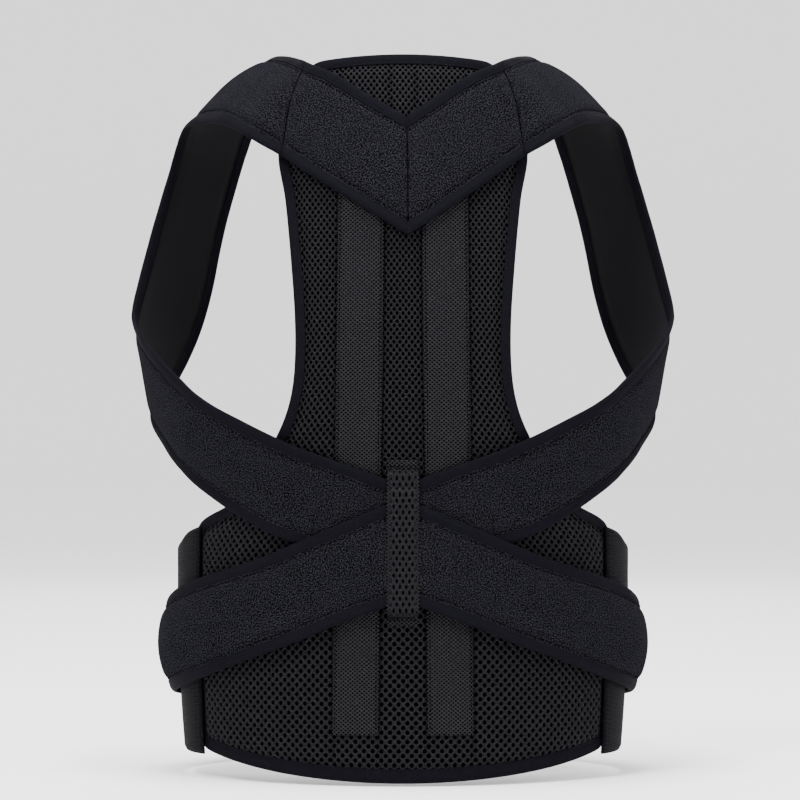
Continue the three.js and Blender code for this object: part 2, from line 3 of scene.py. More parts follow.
import bpy
import numpy as np
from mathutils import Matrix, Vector


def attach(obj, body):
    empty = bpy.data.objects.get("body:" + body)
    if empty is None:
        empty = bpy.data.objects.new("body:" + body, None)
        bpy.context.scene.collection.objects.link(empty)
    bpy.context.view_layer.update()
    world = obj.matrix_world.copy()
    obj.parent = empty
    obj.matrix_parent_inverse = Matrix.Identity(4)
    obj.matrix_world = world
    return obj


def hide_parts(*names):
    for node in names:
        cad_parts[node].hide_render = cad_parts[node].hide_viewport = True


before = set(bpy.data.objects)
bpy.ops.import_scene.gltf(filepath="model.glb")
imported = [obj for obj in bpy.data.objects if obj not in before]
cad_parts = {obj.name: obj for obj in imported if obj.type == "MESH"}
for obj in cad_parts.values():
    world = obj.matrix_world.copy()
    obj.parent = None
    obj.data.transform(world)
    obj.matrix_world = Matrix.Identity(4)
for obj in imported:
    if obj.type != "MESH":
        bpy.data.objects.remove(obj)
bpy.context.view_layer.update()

# Sizes in millimetres, in the frame of the solids: +X the wearer's right, +Y the front, +Z up.
BACK_LENGTH = 481.0
CHEST_HALF_WIDTH = 181.0
CHEST_HALF_DEPTH = 108.0
CLOTH_EDGE = 1.6
PANEL_THICKNESS = 5.0
PANEL_BLADE_HALF_WIDTH = 78.5
PANEL_WAIST_HALF_WIDTH = 156.0
POCKET_WIDTH = 30.0
POCKET_THICKNESS = 1.5
POCKET_TOP_SPACING = 54.0
POCKET_FOOT_SPACING = 62.0
POCKET_TOP = 0.166
POCKET_FOOT = 0.927
STRAP_WIDTH = 64.0
STRAP_THICKNESS = 3.4
STRAP_PUFF = 0.45
TAPE_WIDTH = 6.0
TAPE_WALL = 0.7
EASING = 6.0
YOKE_SEAM_SHIFT = 3.0
BELT_SEAM_INSET = 8.0
BELT_THICKNESS = 2.2
BELT_OVERLAP = 60.0
HOOK_THICKNESS = 1.1
BELT_HOOK_WIDTH = 46.0
BELT_HOOK_HEIGHT = 64.0
STRAP_HOOK_LENGTH = 46.0
STRAP_HOOK_WIDTH = 44.0
STRAP_HOOK_BEYOND = 12.0
KEEPER_WIDTH = 20.0
KEEPER_THICKNESS = 1.8
LAYER_GAP = 0.6
TOUCH_GAP = 0.4
SEAM_GAP = 0.3

# Heights over the body of the layers that lie on each other.
EDGE_FOOT = TAPE_WALL + TOUCH_GAP
TAPE_TOP = CLOTH_EDGE + 2 * EDGE_FOOT
POCKET_LAYER = PANEL_THICKNESS + TOUCH_GAP
YOKE_LAYER = POCKET_LAYER + POCKET_THICKNESS + LAYER_GAP
WAIST_LAYER = YOKE_LAYER + TAPE_TOP + LAYER_GAP
KEEPER_LAYER = WAIST_LAYER + TAPE_TOP + LAYER_GAP
BELT_LAYER = TAPE_TOP + 1.5 * LAYER_GAP
HOOK_LAYER = BELT_LAYER + BELT_THICKNESS + LAYER_GAP
OVER_BELT = HOOK_LAYER + HOOK_THICKNESS + LAYER_GAP

# Fine steps of the modelled cloth.
STRAP_STEP = 2.5
SOFTENING = 36.0
TAPE_STEP = 2.5
STITCH_STEP = 3.0
STITCH_LENGTH = 1.7
STITCH_HALF_WIDTH = 0.55
STITCH_GROOVE = 0.6
CROSS_SEAM_HEIGHT = 2.9
STITCH_INSET = 7.9
SPINE_SEAM_AT = 0.35
FOOT_TAPE_SHARE = 1.4
FOOT_TAPE_LEVELS = (445, 460)
SHOULDER_BEND = (88, 125, 440, 520)
PUCKER_HEIGHT = 0.16
PUCKER_PITCH = 6.6
PANEL_PUFF = 0.5
SEAM_GROOVES = ((1.3, 1.1), (1.1, 3.4))
BACKING_DEPTH = 1.45
POCKET_PUFF = 0.35
POCKET_SEAM_INSET = 2.0
YOKE_COVER = (115, 145)
KEEPER_PLACES = 17
KEEPER_EDGE_PLACES = (0, 1, 14, 15, 16)
KEEPER_COLUMNS = 8
KEEPER_PITCH = KEEPER_WIDTH / 10.4
KEEPER_ROW = 3.9
KEEPER_SEAM_INSET = 4.0
WING_SEAMS = (("seam", 2.2), ("inner", 5.6))

# The photo's camera, and the floor under the belt.
FLOOR_LEVEL = -0.479
CAMERA_PLACE = (-0.002, -2.6, -0.2244)
CAMERA_LENS = 170.5


def table(names, rows):
    """Rows of numbers as one array for each named column."""
    return dict(zip(names.split(), np.array(rows, float).T))


BODY = table(
    "down width back front",
    [
        (-0.03, 0.82, 0.54, 0.52),
        (0.06, 0.91, 0.74, 0.74),
        (0.125, 0.955, 0.845, 0.85),
        (0.21, 0.99, 0.935, 0.935),
        (0.31, 1.005, 0.99, 0.97),
        (0.405, 1.0, 1.0, 0.98),
        (0.49, 0.945, 0.98, 0.97),
        (0.56, 0.86, 0.945, 0.96),
        (0.625, 0.82, 0.915, 0.96),
        (0.7, 0.815, 0.895, 0.97),
        (0.79, 0.815, 0.9, 0.99),
        (0.9, 0.8, 0.925, 1.0),
        (1.02, 0.775, 0.965, 0.99),
    ],
)
PANEL = table(
    "spine edge blade flare",
    [
        (-0.01, 0.0, 0.74, 0),
        (0.02, 0.022, 0.86, 0),
        (0.06, 0.06, 0.95, 0),
        (0.125, 0.125, 1.05, 0),
        (0.19, 0.19, 0.985, 0),
        (0.3, 0.3, 0.92, 0),
        (0.37, 0.37, 0.895, 0),
        (0.43, 0.43, 0.905, 0),
        (0.48, 0.475, 0.955, 0),
        (0.525, 0.515, 1.0, 0.06),
        (0.57, 0.57, 1.0, 0.28),
        (0.62, 0.61, 1.0, 0.52),
        (0.67, 0.638, 1.0, 0.92),
        (0.72, 0.665, 1.0, 1),
        (0.79, 0.75, 1.0, 1),
        (0.88, 0.85, 1.0, 1),
        (0.95, 0.925, 1.0, 0.99),
        (0.99, 0.952, 1.0, 0.95),
    ],
)
COURSE_COLUMNS = "turn down reach lean wrap layer bow width"
SHOULDER = table(
    COURSE_COLUMNS,
    [
        (0, 0.164, 1, 0, 1, 1, 0, 1.02),
        (12, 0.117, 1, 0, 1, 1, 0, 1),
        (25, 0.071, 1, 0, 0.9, 1, 0, 0.98),
        (40, 0.042, 0.89, -6, 0, 0.7, 0.04, 1),
        (67, 0.027, 0.73, -24, 0, 0.2, 0.13, 1.03),
        (109, 0.034, 0.79, -16, 0, 0, 0.13, 1.0),
        (127.8, 0.088, 1.0, 5, 0, 0, 0.05, 0.93),
        (127, 0.176, 1.03, 5, 0, 0, 0, 0.92),
        (123, 0.243, 1.02, 0, 0, 0, 0, 0.94),
        (119.5, 0.308, 1.01, -6, 0, 0, 0, 0.97),
        (106.8, 0.395, 0.998, -6, 0, 0, 0.02, 1.0),
        (83.3, 0.433, 1.0, 0, 0, 0, 0.03, 0.95),
        (67.8, 0.475, 0.985, 0, 0.4, 0.35, 0.01, 0.9),
        (57.2, 0.508, 0.99, 2, 0.8, 0.85, 0, 0.88),
        (48.8, 0.535, 1, 0, 1, 1, 0, 0.9),
        (31.8, 0.584, 1, 0, 1, 1, 0, 0.94),
        (17.2, 0.613, 1, 0, 1, 1, 0, 0.93),
        (0, 0.649, 1, 0, 1, 1, 0, 0.92),
    ],
)
YOKE_END = 0.131
YOKE_SEAM_SLANT = -0.47
WAIST = table(
    COURSE_COLUMNS,
    [
        (0, 0.669, 1, 0, 1, 1, 0, 0.97),
        (17, 0.708, 1, 0, 1, 1, 0, 0.92),
        (32, 0.742, 1, 0, 1, 0.8, 0, 0.92),
        (47, 0.766, 1, 0, 1, 0.25, 0.01, 0.95),
        (63, 0.788, 1, 0, 1, 0, 0.05, 0.98),
        (78, 0.805, 1, 0, 1, 0, 0.11, 0.97),
        (93, 0.817, 1, 0, 1, 0, 0.12, 0.95),
        (109, 0.824, 1, 0, 1, 0, 0.07, 0.97),
        (124, 0.826, 1, 0, 1, 0, 0.02, 1),
        (138, 0.826, 1, 0, 1, 0, 0, 1),
        (152, 0.826, 1, 0, 1, 0, 0, 0.96),
    ],
)
BELT = table(
    "round top foot",
    [
        (0, 0.643, 0.962),
        (0.06, 0.652, 0.962),
        (0.14, 0.67, 0.961),
        (0.4, 0.682, 0.955),
        (0.7, 0.705, 0.935),
        (1, 0.715, 0.925),
        (1.4, 0.715, 0.925),
    ],
)
KEEPER = table(
    "down rise",
    [
        (0.547, 0),
        (0.562, 0),
        (0.5645, 0.35),
        (0.567, 0.62),
        (0.585, 0.66),
        (0.5895, 0.96),
        (0.61, 1),
        (0.65, 1),
        (0.69, 1),
        (0.73, 1),
        (0.7555, 1),
        (0.7595, 0.5),
        (0.762, 0),
        (0.777, 0),
    ],
)
SIDES = (("left", -1), ("right", 1))


# Curves through the tables, and the body that the cloth is wrapped round.


def column(rows, key, at, name):
    """A smooth curve through one column of a table, read at values of another."""
    x, y = rows[key], rows[name]
    at = np.clip(at, x[0], x[-1])
    slope = np.empty(len(y))
    slope[1:-1] = (y[2:] - y[:-2]) / (x[2:] - x[:-2])
    slope[0] = (y[1] - y[0]) / (x[1] - x[0])
    slope[-1] = (y[-1] - y[-2]) / (x[-1] - x[-2])
    i = np.searchsorted(x[1:-1], at)
    span = x[i + 1] - x[i]
    t = (at - x[i]) / span
    a, b, da, db = y[i], y[i + 1], slope[i] * span, slope[i + 1] * span
    return a + t * (da + t * (3 * (b - a) - 2 * da - db + t * (2 * (a - b) + da + db)))


def lerp(a, b, t):
    """From a to b by the share t."""
    return a + (b - a) * t


def smoothstep(x, low, high):
    """0 up to low, 1 from high on, and a soft step between them."""
    t = np.clip((x - low) / (high - low), 0, 1)
    return t * t * (3 - 2 * t)


def unit(v):
    """The same directions with length 1."""
    return v / np.linalg.norm(v, axis=-1, keepdims=True)


def halves(z, turn):
    """The body's half width and half depth at a level, at its back or front."""
    down = -z / BACK_LENGTH
    depth = np.where(
        np.cos(turn) > 0, column(BODY, "down", down, "back"), column(BODY, "down", down, "front")
    )
    return CHEST_HALF_WIDTH * column(BODY, "down", down, "width"), CHEST_HALF_DEPTH * depth


def body_skin(turn, z, reach=1.0):
    """The body's surface at a turn from the spine and a level."""
    turn, z, reach = np.broadcast_arrays(turn, np.asarray(z, float), reach)
    a, b = halves(z, turn)
    return np.stack([reach * a * np.sin(turn), -reach * b * np.cos(turn), z], -1)


def body_normal(turn, z):
    """The direction straight out of the body."""
    step = 0.01
    around = body_skin(turn + step, z) - body_skin(turn - step, z)
    rise = body_skin(turn, z + 1) - body_skin(turn, z - 1)
    return unit(np.cross(around, rise))


def body_point(turn, z, height):
    """A point at a height over the body."""
    return body_skin(turn, z) + body_normal(turn, z) * np.asarray(height)[..., None]


LEVELS = np.linspace(-520, 30, 276)
TURNS = np.linspace(0, 2 * math.pi, 181)
_sections = body_skin(TURNS[None, :], LEVELS[:, None])
_steps = np.linalg.norm(np.diff(_sections, axis=1), axis=-1)
GIRTHS = np.concatenate([np.zeros((len(LEVELS), 1)), np.cumsum(_steps, axis=1)], axis=1)


def turn_at(s, z):
    """The turn at which cloth that runs level round the body is s from the spine."""
    s, z = np.broadcast_arrays(np.asarray(s, float), np.asarray(z, float))
    row = (z.ravel() - LEVELS[0]) / (LEVELS[1] - LEVELS[0])
    low = np.clip(np.floor(row), 0, len(LEVELS) - 2).astype(int)
    share = row - low
    far = np.abs(s).ravel()
    turn = np.empty_like(far)
    for k in np.unique(low):
        pick = low == k
        a = np.interp(far[pick], GIRTHS[k], TURNS)
        b = np.interp(far[pick], GIRTHS[k + 1], TURNS)
        turn[pick] = lerp(a, b, share[pick])
    return np.sign(s) * turn.reshape(s.shape)


def cloth_point(s, z, height):
    """A point over the body, s round it from the spine."""
    s, z, height = np.broadcast_arrays(
        np.asarray(s, float), np.asarray(z, float), np.asarray(height, float)
    )
    return body_point(turn_at(s, z), z, height)


def half_girth(z):
    """From the spine to the middle of the front at a level."""
    row = int(round((z - LEVELS[0]) / (LEVELS[1] - LEVELS[0])))
    return np.interp(math.pi, TURNS, GIRTHS[row])


class Course:
    """A strap's course over the body: a place for each length, distance across and height."""

    def __init__(self, rows, side, low, high, middle_shift=0.0, softening=0.0, fine=30):
        count = len(rows["turn"])
        indexed = {"at": np.arange(count, dtype=float), **rows}
        at = np.linspace(0, count - 1, fine * (count - 1) + 1)

        def read(places, name):
            return column(indexed, "at", places, name)

        def middle(places):
            turn = np.radians(read(places, "turn"))
            return body_skin(turn, -BACK_LENGTH * read(places, "down"), read(places, "reach"))

        centre = middle(at)
        along = unit(middle(at + 0.02) - middle(at - 0.02))
        skin = body_normal(np.radians(read(at, "turn")), centre[:, 2])
        facing = unit(skin - along * np.sum(skin * along, -1, keepdims=True))
        across = np.cross(along, facing)
        lean = np.radians(read(at, "lean"))[:, None]
        steps = np.linalg.norm(np.diff(centre, axis=0), axis=-1)
        self.side, self.shift, self.softening = side, middle_shift, softening
        self.vectors = {
            "centre": centre,
            "along": along,
            "normal": facing * np.cos(lean) + across * np.sin(lean),
            "across": across * np.cos(lean) - facing * np.sin(lean),
        }
        self.rows = {
            "length": np.concatenate([[0], np.cumsum(steps)]),
            "wrap": read(at, "wrap"),
            "foot": lerp(low, high, read(at, "layer")),
            "bow": STRAP_WIDTH * read(at, "bow"),
            "half": STRAP_WIDTH / 2 * read(at, "width"),
        }
        self.length = self.rows["length"][-1]

    def number(self, s, name):
        return column(self.rows, "length", s, name)

    def vector(self, s, name):
        values = self.vectors[name]
        lengths = self.rows["length"]
        return np.stack([np.interp(s, lengths, values[:, k]) for k in range(3)], -1)

    def half(self, s):
        return self.number(s, "half")

    def slant(self, s):
        """The slant of a cut along the wearer's middle plane."""
        return float(-self.vector(s, "across")[0] / self.vector(s, "along")[0])

    def place(self, s, v, h):
        """The place, eased along the strap where it bends over the shoulder."""
        s, v, h = np.broadcast_arrays(*(np.asarray(x, float) for x in (s, v, h)))
        if not self.softening:
            return self.firm_place(s, v, h)
        start, full, fading, stop = SHOULDER_BEND
        bend = smoothstep(s, start, full) * (1 - smoothstep(s, fading, stop))
        weights = {-1.0: 1, -0.7: 2, -0.35: 3, 0.0: 4, 0.35: 3, 0.7: 2, 1.0: 1}
        eased = sum(
            weight * self.firm_place(s + step * self.softening * bend, v, h)
            for step, weight in weights.items()
        )
        return eased / sum(weights.values())

    def firm_place(self, s, v, h):
        """The place as the rows give it, free or wrapped on the body."""
        inside = np.clip(s, 0, self.length)
        half = self.number(inside, "half")
        bow = self.number(inside, "bow") * (1 - (v / half) ** 2)
        height = self.number(inside, "foot") + h + bow
        skin = (
            self.vector(inside, "centre")
            + self.vector(inside, "along") * (s - inside)[..., None]
            + self.vector(inside, "across") * v[..., None]
        )
        a, b = halves(skin[..., 2], np.where(skin[..., 1] < 0, 0, math.pi))
        turn = np.arctan2(skin[..., 0] / a, -skin[..., 1] / b)
        wrapped = body_point(turn, skin[..., 2], height)
        free = skin + self.vector(inside, "normal") * height[..., None]
        point = lerp(free, wrapped, self.number(inside, "wrap")[..., None])
        shift = self.shift * (1 - smoothstep(inside, 0, STRAP_WIDTH))
        point[..., 0] = self.side * point[..., 0] + shift
        return point


def stations(start, stop, step, start_slant, stop_slant):
    """Lengths along a course, and the slant of the cut at each, which fades from the ends."""
    s = np.linspace(start, stop, max(2, round((stop - start) / step) + 1))
    near = 1 - smoothstep(s - start, 0, 1.5 * STRAP_WIDTH)
    away = 1 - smoothstep(stop - s, 0, 1.5 * STRAP_WIDTH)
    return s, near * start_slant + away * stop_slant


# Building meshes.


def build(name, points, faces, uv, materials, face_materials=None):
    """An object from points in millimetres, faces and a place on the cloth for each point."""
    mesh = bpy.data.meshes.new(name)
    mesh.from_pydata((points / 1000).tolist(), [], faces)
    layer = mesh.uv_layers.new(name="cloth")
    corners = np.empty(len(mesh.loops), int)
    mesh.loops.foreach_get("vertex_index", corners)
    layer.data.foreach_set("uv", uv[corners].astype(np.float32).ravel())
    mesh.polygons.foreach_set("use_smooth", np.ones(len(mesh.polygons), bool))
    for material in materials:
        mesh.materials.append(material)
    if face_materials is not None:
        mesh.polygons.foreach_set("material_index", np.asarray(face_materials, np.int32))
    mesh.update()
    made = bpy.data.objects.new(name, mesh)
    bpy.context.scene.collection.objects.link(made)
    return made


def outward(points, faces):
    """The same faces, turned round if they point in."""
    centre = points.mean(axis=0)
    a, b, c = (points[faces[:, k]] - centre for k in range(3))
    volume = np.sum(a * np.cross(b, c))
    return faces if volume > 0 else faces[:, ::-1]


def ring_quads(count, size, closed):
    """Faces between rings of points, and each one's place in its ring."""
    rows = count if closed else count - 1
    i, j = np.meshgrid(np.arange(rows), np.arange(size), indexing="ij")
    after, beside = (i + 1) % count, (j + 1) % size
    corners = [i * size + j, i * size + beside, after * size + beside, after * size + j]
    return np.stack(corners, -1).reshape(-1, 4), j.ravel()


def loft(name, rings, uv, materials, inner_from=None, closed=False):
    """A closed solid through rings of points. Faces from ring place inner_from on are lining."""
    count, size = rings.shape[:2]
    points = rings.reshape(-1, 3)
    quads, place = ring_quads(count, size, closed)
    kinds = np.zeros(len(quads), int) if inner_from is None else (place >= inner_from).astype(int)
    turned = outward(points, quads)
    faces, kinds = turned.tolist(), kinds.tolist()
    if not closed:
        first, last = list(range(size)), list(range((count - 1) * size, count * size))
        faces += [first[::-1], last] if turned is quads else [first, last[::-1]]
        kinds += [0, 0]
    return build(name, points, faces, uv.reshape(-1, 2), materials, kinds)


def clamp_side(rings, side, plane):
    """Keeps a run's points on its own side of an upright plane."""
    rings[..., 0] = side * np.maximum(side * rings[..., 0], side * plane)
    return rings


def both_faces(outer, inner, s, v):
    """Rings over a cloth's outer face and back under it, and their places on the cloth."""
    flat = np.stack(np.broadcast_arrays(s, v), -1)
    rings = np.concatenate([outer, inner[:, ::-1]], axis=1)
    return rings, np.concatenate([flat, flat[:, ::-1]], axis=1)


# Materials. Every one reads the cloth's own place, in millimetres.


class Paint:
    """A node material with a principled shader."""

    def __init__(self, name, roughness, specular=0.3):
        self.material = bpy.data.materials.new(name)
        self.material.use_nodes = True
        self.tree = self.material.node_tree
        self.shader = self.tree.nodes["Principled BSDF"]
        self.shader.inputs["Roughness"].default_value = roughness
        self.shader.inputs["Specular IOR Level"].default_value = specular
        self.place = self.tree.nodes.new("ShaderNodeUVMap").outputs["UV"]

    def node(self, kind, inputs=(), **settings):
        made = self.tree.nodes.new(kind)
        for key, value in settings.items():
            setattr(made, key, value)
        for key, value in dict(inputs).items():
            if isinstance(value, bpy.types.NodeSocket):
                self.tree.links.new(value, made.inputs[key])
            else:
                made.inputs[key].default_value = value
        return made

    def noise(self, pitch, detail=2.0, stretch=(1, 1, 1)):
        scaled = self.node(
            "ShaderNodeMapping", {"Vector": self.place, "Scale": tuple(k / pitch for k in stretch)}
        )
        found = self.node(
            "ShaderNodeTexNoise", {"Vector": scaled.outputs[0], "Scale": 1.0, "Detail": detail}
        )
        return found.outputs["Fac"]

    def ribs(self, pitch, across=False):
        """A wave from -1 to 1 over each pitch, along the cloth or across it."""
        split = self.node("ShaderNodeSeparateXYZ", {0: self.place})
        turns = self.node(
            "ShaderNodeMath",
            {0: split.outputs["Y" if across else "X"], 1: 2 * math.pi / pitch},
            operation="MULTIPLY",
        )
        wave = self.node("ShaderNodeMath", {0: turns.outputs[0]}, operation="SINE")
        return wave.outputs[0]

    def product(self, a, b):
        return self.node("ShaderNodeMath", {0: a, 1: b}, operation="MULTIPLY").outputs[0]

    def total(self, a, b):
        return self.node("ShaderNodeMath", {0: a, 1: b}, operation="ADD").outputs[0]

    def colours(self, value, low, high, dark, light):
        ramp = self.node("ShaderNodeValToRGB", {"Fac": value})
        ramp.color_ramp.elements[0].position, ramp.color_ramp.elements[1].position = low, high
        ramp.color_ramp.elements[0].color = (*dark, 1)
        ramp.color_ramp.elements[1].color = (*light, 1)
        self.tree.links.new(ramp.outputs[0], self.shader.inputs["Base Color"])

    def bump(self, height, millimetres, before=None):
        inputs = {"Height": height, "Distance": millimetres / 1000, "Strength": 1.0}
        if before is not None:
            inputs["Normal"] = before
        normal = self.node("ShaderNodeBump", inputs).outputs[0]
        self.tree.links.new(normal, self.shader.inputs["Normal"])
        return normal

    def sheen(self, weight, roughness, tint):
        self.shader.inputs["Sheen Weight"].default_value = weight
        self.shader.inputs["Sheen Roughness"].default_value = roughness
        self.shader.inputs["Sheen Tint"].default_value = (*tint, 1)


def brushed_loop():
    paint = Paint("brushed_loop", roughness=0.95, specular=0.0)
    pile = paint.noise(pitch=0.85, detail=1.0)
    patches = paint.product(paint.total(paint.noise(pitch=9.0), -0.5), 0.06)
    shade = paint.total(pile, patches)
    paint.colours(shade, 0.44, 0.63, (0.0001, 0.0001, 0.0002), (0.0172, 0.0167, 0.021))
    mottle = paint.bump(paint.noise(pitch=5.0, detail=2.0), 0.6)
    paint.bump(pile, 0.6, before=mottle)
    paint.sheen(0.012, 0.5, (0.85, 0.85, 1.0))
    return paint.material


def lining():
    paint = Paint("smooth_lining", roughness=0.7, specular=0.05)
    knit = paint.product(paint.ribs(1.1), paint.ribs(0.9, across=True))
    paint.shader.inputs["Base Color"].default_value = (0.0048, 0.0047, 0.0056, 1)
    paint.bump(knit, 0.06)
    return paint.material


def strand():
    paint = Paint("mesh_strand", roughness=0.7, specular=0.04)
    twist = paint.noise(pitch=0.9, detail=2.0)
    paint.colours(twist, 0.3, 0.75, (0.003, 0.003, 0.0036), (0.0128, 0.0126, 0.0146))
    paint.bump(twist, 0.12)
    return paint.material


# Near-black: the real underlay of the open mesh, darkened further as painted shade at the bottom of
# the holes.
def shaded_backing():
    paint = Paint("mesh_backing_painted_shade", roughness=0.95, specular=0.0)
    paint.shader.inputs["Base Color"].default_value = (0.0006, 0.0006, 0.0008, 1)
    paint.bump(paint.noise(pitch=1.2), 0.1)
    return paint.material


def pocket_mesh():
    paint = Paint("pocket_mesh", roughness=0.8, specular=0.015)
    knit = paint.product(paint.ribs(3.0), paint.ribs(2.6, across=True))
    uneven = paint.total(knit, paint.product(paint.noise(pitch=1.4), 0.5))
    paint.colours(uneven, 0.2, 0.72, (0.0158, 0.0155, 0.0175), (0.0001, 0.0001, 0.0002))
    paint.bump(paint.product(knit, -1.0), 0.5)
    return paint.material


def edge_tape():
    paint = Paint("edge_tape", roughness=0.75, specular=0.02)
    paint.shader.inputs["Base Color"].default_value = (0.0034, 0.0032, 0.0050, 1)
    ribs = paint.bump(paint.ribs(0.9), 0.07)
    paint.bump(paint.noise(pitch=6.0), 0.35, before=ribs)
    return paint.material


def elastic():
    paint = Paint("elastic", roughness=0.75, specular=0.04)
    ribs = paint.ribs(1.3, across=True)
    paint.colours(ribs, 0.2, 0.9, (0.0018, 0.0018, 0.0024), (0.0046, 0.0045, 0.006))
    knit = paint.bump(ribs, 0.14)
    paint.bump(paint.noise(pitch=0.8, stretch=(1, 0.4, 1)), 0.08, before=knit)
    return paint.material


def hook_tape():
    paint = Paint("hook_tape", roughness=0.5, specular=0.2)
    hooks = paint.product(paint.ribs(1.4), paint.ribs(1.2, across=True))
    paint.colours(hooks, 0.0, 0.8, (0.003, 0.003, 0.004), (0.011, 0.011, 0.013))
    paint.bump(hooks, 0.5)
    return paint.material


# Near-black, darker than the sewing yarn: painted shade of the dimples at the stitches.
def shaded_thread():
    paint = Paint("shaded_thread", roughness=0.9, specular=0.0)
    paint.shader.inputs["Base Color"].default_value = (0.0003, 0.0003, 0.0004, 1)
    return paint.material


def floor_paint():
    material = bpy.data.materials.new("pale_floor")
    material.use_nodes = True
    shader = material.node_tree.nodes["Principled BSDF"]
    shader.inputs["Base Color"].default_value = (0.96, 0.96, 0.96, 1)
    shader.inputs["Roughness"].default_value = 0.9
    return material


BRUSHED, LINING, STRAND, SHADED_BACKING = brushed_loop(), lining(), strand(), shaded_backing()
POCKET, TAPE, ELASTIC, HOOK, SHADED_THREAD = pocket_mesh(), edge_tape(), elastic(), hook_tape(), shaded_thread()


def put(piece, slot, *nodes):
    """Ties a piece to its body and hides the solids it stands for."""
    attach(piece, "root")
    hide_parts(*nodes)
    return piece


# Stitches: one small bead of sewing yarn for each, all those of a seam in one piece. The beads are
# near-black, darker than the yarn's own colour, as painted shade of the stitch dimples.


def stitches(name, place, lengths, nodes, slot):
    """Place gives the point at a length along the seam, a distance across it and a height."""
    reach, wide = STITCH_LENGTH / 2, STITCH_HALF_WIDTH
    ends = [(-reach, 0, -0.1), (reach, 0, -0.1)]
    corners = ends + [(0, -wide, 0), (0, wide, 0), (0, 0, 0.3), (0, 0, -0.3)]
    beads = np.stack([place(lengths + ds, dv, dh) for ds, dv, dh in corners], 1)
    points = beads.reshape(-1, 3)
    faces = np.array(
        [(0, 2, 4), (0, 4, 3), (0, 3, 5), (0, 5, 2), (1, 4, 2), (1, 3, 4), (1, 5, 3), (1, 2, 5)]
    )
    faces = outward(points[:6], faces)
    faces = (np.arange(len(lengths))[:, None, None] * 6 + faces[None]).reshape(-1, 3)
    piece = build(name, points, faces.tolist(), np.zeros((len(points), 2)), [SHADED_THREAD])
    put(piece, slot, *nodes)


# Padded cloth with bound edges, and the tapes that bind them.


def swell(inset):
    """0 where cloth is pressed in a tape, 1 where it has its full thickness."""
    return smoothstep(inset, TAPE_WIDTH + 0.6, TAPE_WIDTH + 1 + EASING)


def ripple(s, v):
    """Slight unevenness of soft padding, in millimetres."""
    return 0.16 * np.sin(s / 11 + 0.35 * np.sin(v / 9)) + 0.12 * np.sin(s / 23 + v / 13)


def pucker(s, inset):
    """Small gathers along a sewn edge."""
    near = np.exp(-(((inset - TAPE_WIDTH - 1.5) / 2.5) ** 2))
    waves = np.sin(2 * math.pi * s / PUCKER_PITCH + 0.8 * np.sin(s / 17))
    return PUCKER_HEIGHT * near * waves


# Places across half a strap, from its edge to its middle, closer together where it is sewn.
INSETS = [0, 2, 4, 5.5, 6.4, 7, 7.5, 7.9, 8.3, 8.8, 9.6, 10.6, 11.8, 13, 15, 17.5, 20, 23, 26, 29]
ACROSS = 1 - np.array(INSETS + [STRAP_WIDTH / 2]) / (STRAP_WIDTH / 2)


def strap_cloth(path, s, slants):
    """Rings round a padded strap, and where in a ring its lining starts."""
    half = path.half(s)[:, None]
    share = np.concatenate([-ACROSS, ACROSS[-2::-1]])[None, :]
    v = half * share
    inset = half - np.abs(v)
    full = swell(inset)
    sewn = smoothstep(np.minimum(s - s[0], s[-1] - s), -1.0, 6)[:, None]
    along = s[:, None] + slants[:, None] * v
    top = STRAP_THICKNESS + STRAP_PUFF + ripple(along, v) * sewn
    outer = lerp(EDGE_FOOT + CLOTH_EDGE, top, full * sewn) + pucker(along, inset) * full
    outer -= STITCH_GROOVE * np.exp(-(((inset - STITCH_INSET) / 0.7) ** 2))
    inner = lerp(EDGE_FOOT, 0, full * sewn)
    rings, uv = both_faces(path.place(along, v, outer), path.place(along, v, inner), along, v)
    return rings, uv, share.shape[1]


TAPE_SECTION = np.array(
    [
        (6.0, 2.72), (6.1, 3.05), (5.4, 3.28), (4.8, 3.2), (4.2, 3.42), (3.0, 3.72), (1.6, 3.82),
        (0.2, 3.66), (-0.7, 3.1), (-1.1, 1.95), (-0.7, 0.75), (0.2, 0.14), (1.6, 0.0), (3.0, 0.05),
        (4.5, 0.2), (6.0, 0.45), (6.0, 0.95), (4.5, 0.9), (1.6, 0.75), (0.1, 0.9), (-0.35, 1.4),
        (-0.35, 2.5), (0.1, 2.95), (1.6, 3.1), (4.5, 2.8),
    ]
)


def tape_rings(path, s, slants, edge):
    """Rings round the tape that is folded over a strap's edge."""
    u, h = TAPE_SECTION[:, 0][None, :], TAPE_SECTION[:, 1][None, :]
    v = edge * (path.half(s)[:, None] - u)
    along = s[:, None] + slants[:, None] * v
    girth = np.cumsum(np.linalg.norm(np.diff(TAPE_SECTION, axis=0), axis=1))
    girth = np.concatenate([[0], girth])[None, :]
    uv = np.stack([along, girth + 0 * along], -1)
    return path.place(along, v, h + 0.06 * np.sin(along / 5)), uv


def tape_stitches(name, path, s, slants, edge, node):
    """The row of stitches beside a strap's tape."""
    lengths = np.arange(s[0] + 3, s[-1] - 3, STITCH_STEP)
    lean = np.interp(lengths, s, slants)
    half = path.half(lengths)

    def place(moved, dv, dh):
        v = edge * (half - STITCH_INSET + dv)
        return path.place(moved + lean * v, v, EDGE_FOOT + CLOTH_EDGE - 0.3 + dh)

    stitches(name, place, lengths, [node], "edge_tape")


def cross_seam(name, path, at, slant, node):
    """A close row of stitch beads in a seam that crosses a strap."""
    reach = float(path.half(at)) - TAPE_WIDTH
    across = np.arange(-reach, reach, STITCH_LENGTH * 0.9)

    def place(moved, dv, dh):
        return path.place(at + slant * moved + 0.8 * dv, moved, CROSS_SEAM_HEIGHT + dh)

    stitches(name, place, across, [node], "brushed_loop")


# The yoke and the shoulder straps.


